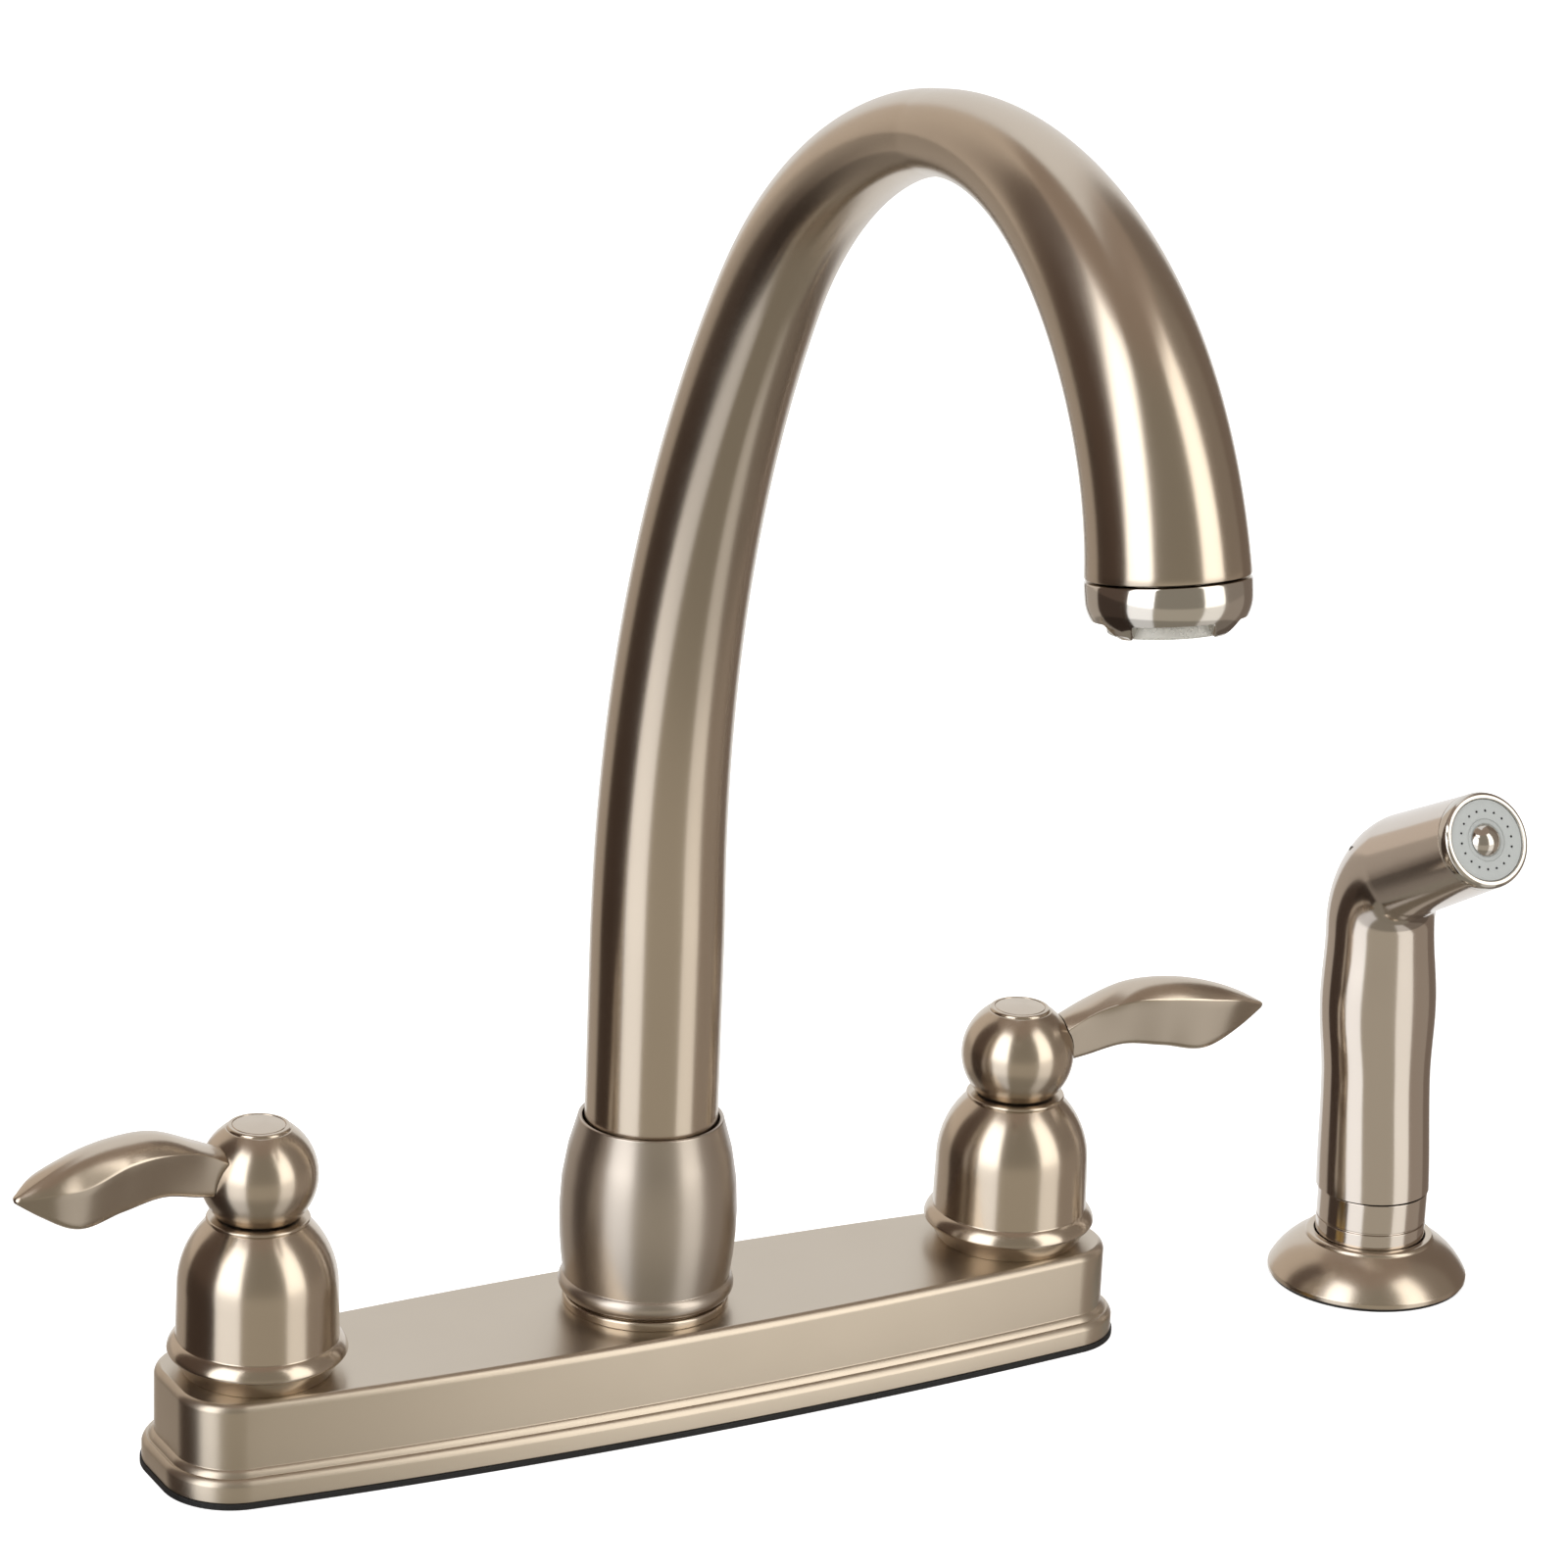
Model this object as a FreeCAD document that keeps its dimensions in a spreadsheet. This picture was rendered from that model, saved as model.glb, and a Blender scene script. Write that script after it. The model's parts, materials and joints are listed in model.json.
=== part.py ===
import FreeCAD, Part
import math
import os

import Sketcher
from FreeCAD import Placement, Rotation, Vector

# Side spray kitchen faucet: two lever handles and a swivelling gooseneck on one deck plate,
# and a hand spray that stands in its own holder beside it.
# Millimetres. +Z is up, z = 0 is the sink deck, the origin is under the middle of the plate.
# +X is the cold side, and the spout reaches out towards -Y.

SIZES = {
    # Layout on the deck
    "handle_spacing": 203.2,
    "sprayer_beside": 104.4,
    "sprayer_y": -8.4,
    "deck_thickness": 12.0,
    # Fits between pieces
    "turning_fit": 0.05,
    "close_fit": 0.05,
    "loose_fit": 0.4,
    "seat_gap": 0.3,
    "groove_clearance": 0.1,
    # Deck plate and its gasket
    "plate_end": 25.85,
    "plate_half_depth": 27.63,
    "plate_bow": 6.4,
    "plate_corner": 17.0,
    "gasket_thickness": 1.5,
    "gasket_lip": 0.4,
    "gasket_hole_radius": 16.0,
    "flange_height": 6.3,
    "flange_round": 1.4,
    "groove_height": 1.1,
    "groove_inset": 3.7,
    "wall_inset": 2.9,
    "plate_top": 24.9,
    "top_round": 1.3,
    "plate_wall": 2.2,
    "plate_roof": 2.4,
    # Waterway casting under the plate
    "boss_radius": 15.0,
    "boss_bottom": 8.0,
    "duct_radius": 6.5,
    "duct_bore": 4.0,
    "duct_height": 15.0,
    # Valve bodies, one under each handle
    "shank_radius": 10.4,
    "shank_length": 46.0,
    "shank_top": 4.0,
    "supply_thread_length": 23.05,
    "mount_thread_radius": 11.2,
    "valve_radius": 12.0,
    "valve_top": 42.0,
    "inlet_bore": 7.5,
    "cartridge_radius": 9.1,
    "valve_seat": 9.0,
    "washer_radius": 17.0,
    "washer_thickness": 2.0,
    "shank_nut_flats": 32.0,
    "shank_nut_height": 8.0,
    # Ceramic cartridge
    "disc_thickness": 3.0,
    "disc_gap": 0.05,
    "moving_disc_radius": 7.5,
    "disc_port": 2.3,
    "disc_port_offset": 4.2,
    "cartridge_cavity": 7.8,
    "cavity_height": 7.0,
    "cartridge_window": 2.8,
    "stem_radius": 4.95,
    "stem_flange": 7.4,
    "stem_flange_height": 3.4,
    "spindle_radius": 4.0,
    "spindle_top": 69.5,
    "stem_screw_depth": 12.0,
    "bonnet_flats": 27.0,
    "bonnet_bottom": 34.0,
    "bonnet_lip": 3.0,
    # Bells
    "bell_foot_radius": 19.3,
    "bell_bead_height": 6.3,
    "bell_bead_radius": 1.95,
    "bell_skirt_radius": 19.2,
    "bell_skirt_top": 21.0,
    "bell_waist_radius": 18.9,
    "bell_dome_radius": 22.5,
    "bell_height": 38.5,
    "bell_wall": 1.8,
    "bell_floor": 3.0,
    "bell_eye": 5.4,
    # Handles
    "ball_radius": 13.95,
    "ball_gap": 0.4,
    "ball_drop": 9.9,
    "ball_rise": 11.6,
    "spindle_grip": 5.7,
    "spindle_end_gap": 1.5,
    "screw_web": 5.0,
    "screw_radius": 1.65,
    "screw_head_radius": 3.6,
    "screw_head_height": 3.0,
    "screw_end_gap": 1.0,
    "cap_radius": 7.5,
    "cap_height": 0.9,
    "cap_round": 0.5,
    "cap_plug_radius": 5.0,
    "cap_plug_depth": 2.0,
    "lever_turn": 10.0,
    "lever_pin_radius": 3.0,
    "lever_pin_height": 2.3,
    "lever_pin_length": 6.0,
    "lever_joint": 0.02,
    # Spout foot: ring, barrel, hub and swivel bearing
    "ring_radius": 20.2,
    "ring_height": 2.3,
    "ring_round": 0.8,
    "ring_groove_radius": 18.6,
    "ring_groove_height": 0.8,
    "barrel_foot_radius": 20.2,
    "barrel_bead_radius": 21.25,
    "barrel_bead_height": 4.4,
    "barrel_belly_radius": 21.45,
    "barrel_belly_height": 24.1,
    "barrel_rim_radius": 17.6,
    "barrel_height": 47.4,
    "barrel_bore_gap": 0.5,
    "hub_radius": 11.0,
    "hub_top": 74.0,
    "hub_flange_radius": 16.4,
    "hub_flange_height": 4.0,
    "hub_bore": 6.0,
    "hub_upper_bore": 6.5,
    "hub_shoulder": 31.0,
    "glide_height": 1.6,
    "bushing_wall": 2.9,
    "bushing_bottom": 33.0,
    "bushing_top": 70.0,
    "oring_section": 0.9,
    "oring_low": 41.0,
    "oring_high": 62.0,
    "clip_depth": 1.1,
    "clip_thickness": 1.2,
    "clip_reach": 1.6,
    # Gooseneck: three arcs, each one tighter than the one before
    "spout_radius": 16.0,
    "spout_bottom": 31.1,
    "spout_straight": 129.6,
    "first_bend_radius": 294.0,
    "first_bend_angle": 31.5,
    "second_bend_radius": 112.4,
    "second_bend_angle": 37.3,
    "third_bend_radius": 84.4,
    "third_bend_angle": 101.1,
    "taper_start": 10.0,
    "taper_power": 1.15,
    "neck_angle": 80.0,
    "neck_radius": 9.05,
    "neck_oval": 1.2,
    "tip_radius": 16.5,
    "flare_lag": 0.114,
    "spout_wall": 2.4,
    "passage_end_radius": 11.0,
    "spout_socket_depth": 43.9,
    "tip_socket_radius": 13.2,
    "tip_socket_depth": 9.0,
    # Aerator
    "aerator_radius": 16.6,
    "aerator_length": 11.0,
    "aerator_end_radius": 13.0,
    "aerator_side": 3.5,
    "aerator_joint": 0.3,
    "aerator_thread_length": 7.0,
    "aerator_bore": 10.8,
    "notch_count": 4.0,
    "notch_half_width": 5.6,
    "notch_depth": 3.6,
    "insert_wall": 1.6,
    "insert_seat": 1.0,
    "insert_hollow": 2.0,
    "insert_edge": 0.4,
    "insert_bevel": 0.6,
    "washer_bore": 8.0,
    # Diverter and the outlet for the spray hose
    "outlet_radius": 7.0,
    "outlet_thread_length": 23.05,
    "outlet_shoulder": 7.8,
    "outlet_drop": 24.0,
    "outlet_bore": 3.5,
    "outlet_flats": 19.0,
    "outlet_hex_height": 4.0,
    "outlet_spigot": 3.0,
    "diverter_height": 9.0,
    "diverter_stem_radius": 2.5,
    "diverter_port": 1.1,
    "diverter_port_offset": 4.6,
    "diverter_spring_height": 6.8,
    "diverter_head_radius": 5.8,
    "diverter_head_height": 3.0,
    "diverter_tail": 5.0,
    "spring_wire": 0.4,
    "diverter_spring_radius": 4.0,
    # Holder of the hand spray
    "holder_radius": 25.6,
    "holder_edge": 1.2,
    "holder_top": 12.3,
    "holder_rim_radius": 16.6,
    "holder_dome_radius": 21.0,
    "holder_gasket_thickness": 0.8,
    "holder_gasket_inset": 0.6,
    "holder_tube_radius": 15.1,
    "holder_thread_radius": 14.5,
    "holder_thread_length": 25.1,
    "holder_tube_drop": 46.0,
    "holder_nut_flats": 38.0,
    "holder_nut_height": 8.0,
    # Hand spray: coupling at its foot
    "coupling_radius": 14.05,
    "coupling_bottom": 9.9,
    "coupling_top": 24.5,
    "coupling_groove_height": 16.2,
    "coupling_groove": 0.5,
    "nose_radius": 11.0,
    "nose_bottom": -8.0,
    "hose_bore": 5.5,
    "hose_thread_depth": 10.0,
    "coupling_bore": 6.0,
    "grip_spigot_radius": 10.6,
    "grip_spigot_length": 7.0,
    "grip_gap": 0.4,
    # Hand spray: grip and head
    "grip_lean": 4.7,
    "grip_foot_z": 24.9,
    "grip_foot_y": 0.3,
    "grip_top_z": 94.5,
    "head_bend_radius": 20.0,
    "head_rise": 28.0,
    "head_length": 36.0,
    "grip_foot_half_width": 14.7,
    "grip_waist_half_width": 14.3,
    "grip_hip_half_width": 15.5,
    "grip_neck_half_width": 14.2,
    "grip_foot_half_depth": 14.2,
    "grip_waist_half_depth": 13.2,
    "grip_hip_half_depth": 13.4,
    "grip_neck_half_depth": 12.9,
    "head_radius": 13.3,
    "head_end_radius": 12.2,
    "head_flattening": 0.1,
    "bezel_length": 3.4,
    "bezel_thread_radius": 10.9,
    "bezel_thread_length": 5.5,
    "bezel_end_room": 1.0,
    "bezel_end_radius": 11.9,
    "bezel_band": 2.0,
    "bezel_edge": 0.5,
    "bezel_bevel": 0.6,
    "bezel_flare": 0.2,
    "face_radius": 10.2,
    "face_thickness": 2.6,
    "face_recess": 0.5,
    "face_ledge": 1.2,
    "dome_radius": 4.2,
    "dome_height": 2.4,
    "dome_pin_radius": 1.8,
    # Hand spray: thumb trigger
    "trigger_half_width": 7.6,
    "trigger_top_angle": 50.0,
    "trigger_bend_angle": 6.0,
    "trigger_tip_y": 21.8,
    "trigger_tip_z": 79.0,
    "trigger_heel_y": 18.4,
    "trigger_heel_z": 74.8,
    "trigger_thickness": 5.0,
    "trigger_taper": 1.0,
    "trigger_swell": 1.2,
    "trigger_heel_step": 2.0,
    "trigger_eye_wall": 2.5,
    "trigger_swing": 5.2,
    "trigger_gap": 0.3,
    "trigger_heel_room": 2.4,
    "slot_relief": 1.8,
    "slot_clearance": 1.5,
    "slot_overrun": 6.0,
    "slit_angle": 1.0,
    "slot_lead_angle": 3.0,
    "pivot_depth": 5.5,
    "pivot_angle": 44.0,
    "pivot_radius": 1.5,
    "pivot_half_length": 10.5,
    "torsion_notch_radius": 4.0,
    "torsion_notch_half": 3.2,
    "torsion_radius": 2.5,
    "torsion_half_length": 2.2,
    "plunger_radius": 3.0,
    "plunger_height": 90.0,
    "plunger_tail_y": 1.0,
    "plunger_bore_end": -4.0,
}

# Lever: distance out from the handle's axis, then height of crown, of the crease on the spout's
# side of the cold lever, of the crease on its other side and of the keel, and two half widths.
LEVER = {
    "root": (8.5, 81.6, 78.6, 78.4, 70.2, 5.0, 2.5),
    "neck": (17.0, 85.4, 84.0, 83.6, 71.9, 5.5, 2.6),
    "shoulder": (27.0, 89.7, 87.1, 86.4, 74.2, 6.5, 2.9),
    "crest": (38.0, 90.6, 87.1, 86.4, 73.0, 6.8, 3.0),
    "belly": (50.0, 88.7, 85.8, 83.0, 71.6, 6.1, 2.8),
    "cheek": (59.0, 85.3, 84.2, 82.5, 76.6, 4.1, 2.0),
    "tip": (64.5, 82.3, 81.9, 81.5, 80.6, 1.2, 0.6),
}
LEVER_VALUES = ("reach", "crown", "near_crease", "far_crease", "keel", "half_width", "keel_half_width")

for station, values in LEVER.items():
    for what, value in zip(LEVER_VALUES, values):
        SIZES["lever_%s_%s" % (station, what)] = value


# ---------------------------------------------------------------------------------------------
# Sizes: a number together with the sheet expression that gives it
# ---------------------------------------------------------------------------------------------

class Size:
    """A length or an angle: its value, and the same value as an expression of the sheet."""

    def __init__(self, value, text=None):
        self.value = float(value)
        self.text = text or "%.6g" % value

    def __add__(self, other):
        return join(self, "+", other, self.value + number(other))

    def __radd__(self, other):
        return join(other, "+", self, self.value + number(other))

    def __sub__(self, other):
        return join(self, "-", other, self.value - number(other))

    def __rsub__(self, other):
        return join(other, "-", self, number(other) - self.value)

    def __mul__(self, other):
        return join(self, "*", other, self.value * number(other))

    def __rmul__(self, other):
        return join(other, "*", self, self.value * number(other))

    def __truediv__(self, other):
        return join(self, "/", other, self.value / number(other))

    def __neg__(self):
        return join(-1, "*", self, -self.value)


def as_size(what):
    return what if isinstance(what, Size) else Size(what)


def number(what):
    return as_size(what).value


def join(left, sign, right, value):
    return Size(value, "(%s %s %s)" % (as_size(left).text, sign, as_size(right).text))


def root(size):
    return Size(math.sqrt(size.value), "sqrt(%s)" % size.text)


def sine(angle):
    return Size(math.sin(math.radians(number(angle))), "sin(%s)" % as_size(angle).text)


def cosine(angle):
    return Size(math.cos(math.radians(number(angle))), "cos(%s)" % as_size(angle).text)


def leg(hypotenuse, other_leg):
    """The other short side of a right-angled triangle."""
    return root(hypotenuse * hypotenuse - other_leg * other_leg)


def arc_through(run, rise):
    """Radius of the arc that starts square to its run and has moved aside by rise at its end."""
    return (run * run + rise * rise) / (2 * rise)


doc = FreeCAD.newDocument("SideSprayFaucet")
sheet = doc.addObject("Spreadsheet::Sheet", "Sizes")
for row, (alias, value) in enumerate(SIZES.items(), start=1):
    sheet.set("A%d" % row, alias)
    sheet.set("B%d" % row, str(value))
    sheet.setAlias("B%d" % row, alias)
doc.recompute()


class Sizes:
    """The sheet's cells by name."""


s = Sizes()
for alias in SIZES:
    setattr(s, alias, Size(getattr(sheet, alias), "Sizes." + alias))


# ---------------------------------------------------------------------------------------------
# Sketches
# ---------------------------------------------------------------------------------------------

class Bow:
    """Put between two points of a loop, it makes that side an arc; hollow bows inwards."""

    def __init__(self, radius, hollow=False):
        self.radius = as_size(radius)
        self.hollow = hollow


class Circle:
    """A round loop."""

    def __init__(self, radius, x=0, y=0):
        self.radius = as_size(radius)
        self.x = as_size(x)
        self.y = as_size(y)


def bind(obj, path, size):
    """Set a property, and tie it to the sheet where the size comes from there."""
    size = as_size(size)
    if "Sizes." in size.text:
        obj.setExpression(path, size.text)


def constrain(sketch, wanted):
    """Add (constraint, size or None) pairs in one go and tie each size to the sheet."""
    first = sketch.ConstraintCount
    sketch.addConstraint([constraint for constraint, size in wanted])
    for place, (constraint, size) in enumerate(wanted):
        if size is not None:
            bind(sketch, "Constraints[%d]" % (first + place), size)


def fix_point(edge, end, x, y):
    x, y = as_size(x), as_size(y)
    return [(Sketcher.Constraint("DistanceX", -1, 1, edge, end, x.value), x),
            (Sketcher.Constraint("DistanceY", -1, 1, edge, end, y.value), y)]


def arc_edge(start, end, bow):
    """Arc from start to end that bulges to the right of the way, or to the left if hollow."""
    chord = end - start
    half = chord.Length / 2
    sagitta = bow.radius.value - math.sqrt(max(bow.radius.value ** 2 - half ** 2, 0))
    aside = Vector(chord.y, -chord.x, 0) * ((-sagitta if bow.hollow else sagitta) / chord.Length)
    middle = (start + end) * 0.5 + aside
    if bow.hollow:
        return Part.Arc(end, middle, start)
    return Part.Arc(start, middle, end)


def draw_circle(sketch, circle):
    centre = Vector(circle.x.value, circle.y.value, 0)
    edge = sketch.addGeometry(Part.Circle(centre, Vector(0, 0, 1), circle.radius.value), False)
    radius = (Sketcher.Constraint("Radius", edge, circle.radius.value), circle.radius)
    constrain(sketch, fix_point(edge, 3, circle.x, circle.y) + [radius])


def draw_loop(sketch, loop):
    """Closed anticlockwise loop of points, with a Bow after each point where an arc starts."""
    points = []
    bows = []
    for item in loop:
        if isinstance(item, Bow):
            bows[-1] = item
        else:
            points.append((as_size(item[0]), as_size(item[1])))
            bows.append(None)
    first = sketch.GeometryCount
    count = len(points)
    starts = []
    wanted = []
    for place, bow in enumerate(bows):
        here, there = points[place], points[(place + 1) % count]
        start = Vector(here[0].value, here[1].value, 0)
        end = Vector(there[0].value, there[1].value, 0)
        edge = first + place
        if bow:
            sketch.addGeometry(arc_edge(start, end, bow), False)
            wanted.append((Sketcher.Constraint("Radius", edge, bow.radius.value), bow.radius))
        else:
            sketch.addGeometry(Part.LineSegment(start, end), False)
        starts.append(2 if bow and bow.hollow else 1)
    for place, (x, y) in enumerate(points):
        follower = (place + 1) % count
        joint = Sketcher.Constraint("Coincident", first + place, 3 - starts[place],
                                    first + follower, starts[follower])
        wanted.append((joint, None))
        wanted += fix_point(first + place, starts[place], x, y)
    constrain(sketch, wanted)


def new_sketch(body, name, role, lift=0):
    """Empty sketch on one of the body's origin planes, moved along the plane's normal."""
    sketch = body.newObject("Sketcher::SketchObject", name)
    plane = next(item for item in body.Origin.OriginFeatures if item.Role == role)
    sketch.AttachmentSupport = [(plane, "")]
    sketch.MapMode = "FlatFace"
    sketch.AttachmentOffset = Placement(Vector(0, 0, number(lift)), Rotation())
    bind(sketch, "AttachmentOffset.Base.z", lift)
    return sketch


def outline(body, name, role, *loops, lift=0):
    """Sketch made of closed loops."""
    sketch = new_sketch(body, name, role, lift)
    for loop in loops:
        if isinstance(loop, Circle):
            draw_circle(sketch, loop)
        else:
            draw_loop(sketch, loop)
    return sketch


def oval(body, name, half_width, half_depth, y, z, tilt):
    """Oval section across a path in the YZ plane: its middle, and its tilt from level."""
    sketch = new_sketch(body, name, "XY_Plane")
    sketch.AttachmentOffset = Placement(Vector(0, number(y), number(z)),
                                        Rotation(Vector(1, 0, 0), number(tilt)))
    bind(sketch, "AttachmentOffset.Base.y", y)
    bind(sketch, "AttachmentOffset.Base.z", z)
    bind(sketch, "AttachmentOffset.Rotation.Angle", tilt)
    if abs(number(half_width) - number(half_depth)) < 1e-6:
        draw_circle(sketch, Circle(half_width))
        return sketch
    ellipse = Part.Ellipse(Vector(0, 0, 0), number(half_width), number(half_depth))
    edge = sketch.addGeometry(ellipse, False)
    sketch.exposeInternalGeometry(edge)
    long_axis, short_axis = edge + 1, edge + 2
    constrain(sketch, [
        (Sketcher.Constraint("Distance", long_axis, 2 * number(half_width)), 2 * half_width),
        (Sketcher.Constraint("Distance", short_axis, 2 * number(half_depth)), 2 * half_depth),
        (Sketcher.Constraint("Coincident", edge, 3, -1, 1), None),
        (Sketcher.Constraint("Horizontal", long_axis), None)])
    return sketch


def box_loop(x0, y0, x1, y1):
    return [(x0, y0), (x1, y0), (x1, y1), (x0, y1)]


def hexagon(flats):
    """Six corners, the first one on the X axis."""
    corner = flats / root(Size(3))
    half = corner / 2
    side = flats / 2
    return [(corner, 0), (half, side), (-half, side), (-corner, 0), (-half, -side), (half, -side)]


# ---------------------------------------------------------------------------------------------
# Bodies and features
# ---------------------------------------------------------------------------------------------

OVERRUN = 1  # how far a cut runs on past the face that it opens
SPRING_TURNS = 3

sub_parts = []


def new_body(label):
    body = doc.addObject("PartDesign::Body", label)
    body.Label = label
    sub_parts.append(body)
    return body


def place(body, x=0, y=0, z=0, axis=(0, 0, 1), turn=0):
    """Put a body in its place, tied to the sheet."""
    body.Placement = Placement(Vector(number(x), number(y), number(z)),
                               Rotation(Vector(*axis), number(turn)))
    bind(body, "Placement.Base.x", x)
    bind(body, "Placement.Base.y", y)
    bind(body, "Placement.Base.z", z)
    bind(body, "Placement.Rotation.Angle", turn)
    return body


def pad(body, name, sketch, length):
    feature = body.newObject("PartDesign::Pad", name)
    feature.Profile = sketch
    feature.Length = number(length)
    bind(feature, "Length", length)
    return feature


def cut(body, name, sketch, depth):
    """Pocket from the sketch's plane along its normal."""
    feature = body.newObject("PartDesign::Pocket", name)
    feature.Profile = sketch
    feature.Reversed = True
    feature.Length = number(depth)
    bind(feature, "Length", depth)
    return feature


def revolve(body, name, sketch, kind="PartDesign::Revolution"):
    """Full turn about the sketch's vertical axis."""
    feature = body.newObject(kind, name)
    feature.Profile = sketch
    feature.ReferenceAxis = (sketch, ["V_Axis"])
    feature.Angle = 360
    return feature


def loft(body, name, sketches, kind="PartDesign::AdditiveLoft"):
    feature = body.newObject(kind, name)
    feature.Profile = sketches[0]
    feature.Sections = sketches[1:]
    return feature


def polar_pattern(body, name, feature, count):
    pattern = body.newObject("PartDesign::PolarPattern", name)
    pattern.Originals = [feature]
    axis = next(item for item in body.Origin.OriginFeatures if item.Role == "Z_Axis")
    pattern.Axis = (axis, [""])
    pattern.Angle = 360
    pattern.Occurrences = int(number(count))
    bind(pattern, "Occurrences", count)
    body.Tip = pattern
    return pattern


def round_rim(body, name, feature, height, radius):
    """Round the edges of a feature that lie flat at one height."""
    doc.recompute()
    rim = []
    for place_in_list, edge in enumerate(feature.Shape.Edges, start=1):
        box = edge.BoundBox
        if abs(box.ZMin - height.value) < 1e-3 and abs(box.ZMax - height.value) < 1e-3:
            rim.append("Edge%d" % place_in_list)
    fillet = body.newObject("PartDesign::Fillet", name)
    fillet.Base = (feature, rim)
    fillet.Radius = radius.value
    bind(fillet, "Radius", radius)
    return fillet


def turned(label, *loops):
    """Body made by one full turn of a profile about the Z axis."""
    body = new_body(label)
    sketch = outline(body, label + "_profile", "XZ_Plane", *loops)
    revolve(body, label + "_turning", sketch)
    return body


def sleeve(label, inner, outer, bottom, top):
    """Plain round sleeve, ring or washer."""
    return turned(label, box_loop(inner, bottom, outer, top))


def cross_hole(body, name, radius, height, start, length):
    """Round hole along +X at one height."""
    sketch = outline(body, name + "_circle", "YZ_Plane", Circle(radius, 0, height), lift=start)
    return cut(body, name, sketch, length)


def hex_nut(label, flats, bore, bottom, height, centres=(0,)):
    """Hexagonal nut, or several alike along X."""
    body = new_body(label)
    loops = []
    for x in centres:
        loops.append([(corner_x + x, corner_y) for corner_x, corner_y in hexagon(flats)])
        loops.append(Circle(bore, x, 0))
    pad(body, label + "_pad", outline(body, label + "_hexagon", "XY_Plane", *loops, lift=bottom), height)
    return body


# ---------------------------------------------------------------------------------------------
# Deck plate, gasket and waterway
# ---------------------------------------------------------------------------------------------

half_spacing = s.handle_spacing / 2
plate_half_length = half_spacing + s.plate_end
# Each side: place along X, turn that points the port at the middle, turn of the lever.
sides = {"hot": (-half_spacing, 0, 180 + s.lever_turn), "cold": (half_spacing, 180, -s.lever_turn)}
plate_underside = s.plate_top - s.plate_roof
flange_top = s.gasket_thickness + s.flange_height
wall_bottom = flange_top + s.groove_height


def oblong(inset):
    """Outline of the plate: long sides bowed out, short ends straight, corners round."""
    length, depth, corner = plate_half_length, s.plate_half_depth, s.plate_corner
    bow = arc_through(length, s.plate_bow)
    bow_centre = bow - depth
    corner_x = length - corner
    corner_y = leg(bow - corner, corner_x) - bow_centre
    meet_x = corner_x * (bow - inset) / (bow - corner)
    meet_y = (corner_y + bow_centre) * (bow - inset) / (bow - corner) - bow_centre
    end_x = length - inset
    long_side, round_corner = Bow(bow - inset), Bow(corner - inset)
    return [(end_x, -corner_y), (end_x, corner_y), round_corner,
            (meet_x, meet_y), long_side,
            (-meet_x, meet_y), round_corner,
            (-end_x, corner_y), (-end_x, -corner_y), round_corner,
            (-meet_x, -meet_y), long_side,
            (meet_x, -meet_y), round_corner]


def three_circles(end_radius, middle_radius):
    return [Circle(end_radius, -half_spacing, 0), Circle(middle_radius, 0, 0),
            Circle(end_radius, half_spacing, 0)]


def deck_plate():
    """Cast shell: stepped flange, groove, upright wall and flat top with three holes."""
    body = new_body("deck_plate")
    flange = outline(body, "flange_outline", "XY_Plane", oblong(s.gasket_lip), lift=s.gasket_thickness)
    flange_pad = pad(body, "flange", flange, s.flange_height)
    round_rim(body, "flange_edge", flange_pad, flange_top, s.flange_round)
    groove = outline(body, "groove_outline", "XY_Plane",
                     oblong(s.gasket_lip + s.groove_inset), lift=flange_top)
    pad(body, "groove_floor", groove, s.groove_height)
    wall_edge = s.gasket_lip + s.wall_inset
    wall = outline(body, "wall_outline", "XY_Plane", oblong(wall_edge), lift=wall_bottom)
    wall_pad = pad(body, "upright_wall", wall, s.plate_top - wall_bottom)
    round_rim(body, "top_edge", wall_pad, s.plate_top, s.top_round)
    hollow = outline(body, "hollow_outline", "XY_Plane",
                     oblong(wall_edge + s.plate_wall), lift=s.gasket_thickness)
    cut(body, "hollow", hollow, plate_underside - s.gasket_thickness)
    end_hole = s.valve_radius + s.loose_fit
    middle_hole = s.hub_radius + s.loose_fit
    holes = outline(body, "hole_circles", "XY_Plane",
                    *three_circles(end_hole, middle_hole), lift=plate_underside)
    cut(body, "top_holes", holes, s.plate_roof)


def deck_gasket():
    """Rubber sheet between the plate and the deck."""
    body = new_body("deck_gasket")
    hole = s.gasket_hole_radius
    sheet_outline = outline(body, "gasket_outline", "XY_Plane", oblong(Size(0)), *three_circles(hole, hole))
    pad(body, "gasket_sheet", sheet_outline, s.gasket_thickness)


def waterway():
    """Brass casting: a boss round each valve body and round the spout hub, and ducts between."""
    body = new_body("waterway")
    duct = outline(body, "duct_circle", "YZ_Plane",
                   Circle(s.duct_radius, 0, s.duct_height), lift=-half_spacing)
    pad(body, "duct", duct, s.handle_spacing)
    bosses = outline(body, "boss_circles", "XY_Plane",
                     *three_circles(s.boss_radius, s.boss_radius), lift=s.boss_bottom)
    boss_height = plate_underside - s.boss_bottom
    pad(body, "bosses", bosses, boss_height)
    bores = outline(body, "bore_circles", "XY_Plane",
                    *three_circles(s.valve_radius + s.close_fit, s.hub_radius + s.close_fit),
                    lift=s.boss_bottom)
    cut(body, "boss_bores", bores, boss_height)
    cross_hole(body, "duct_bore", s.duct_bore, s.duct_height, -half_spacing, s.handle_spacing)


# ---------------------------------------------------------------------------------------------
# Valves, two alike
# ---------------------------------------------------------------------------------------------

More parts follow.
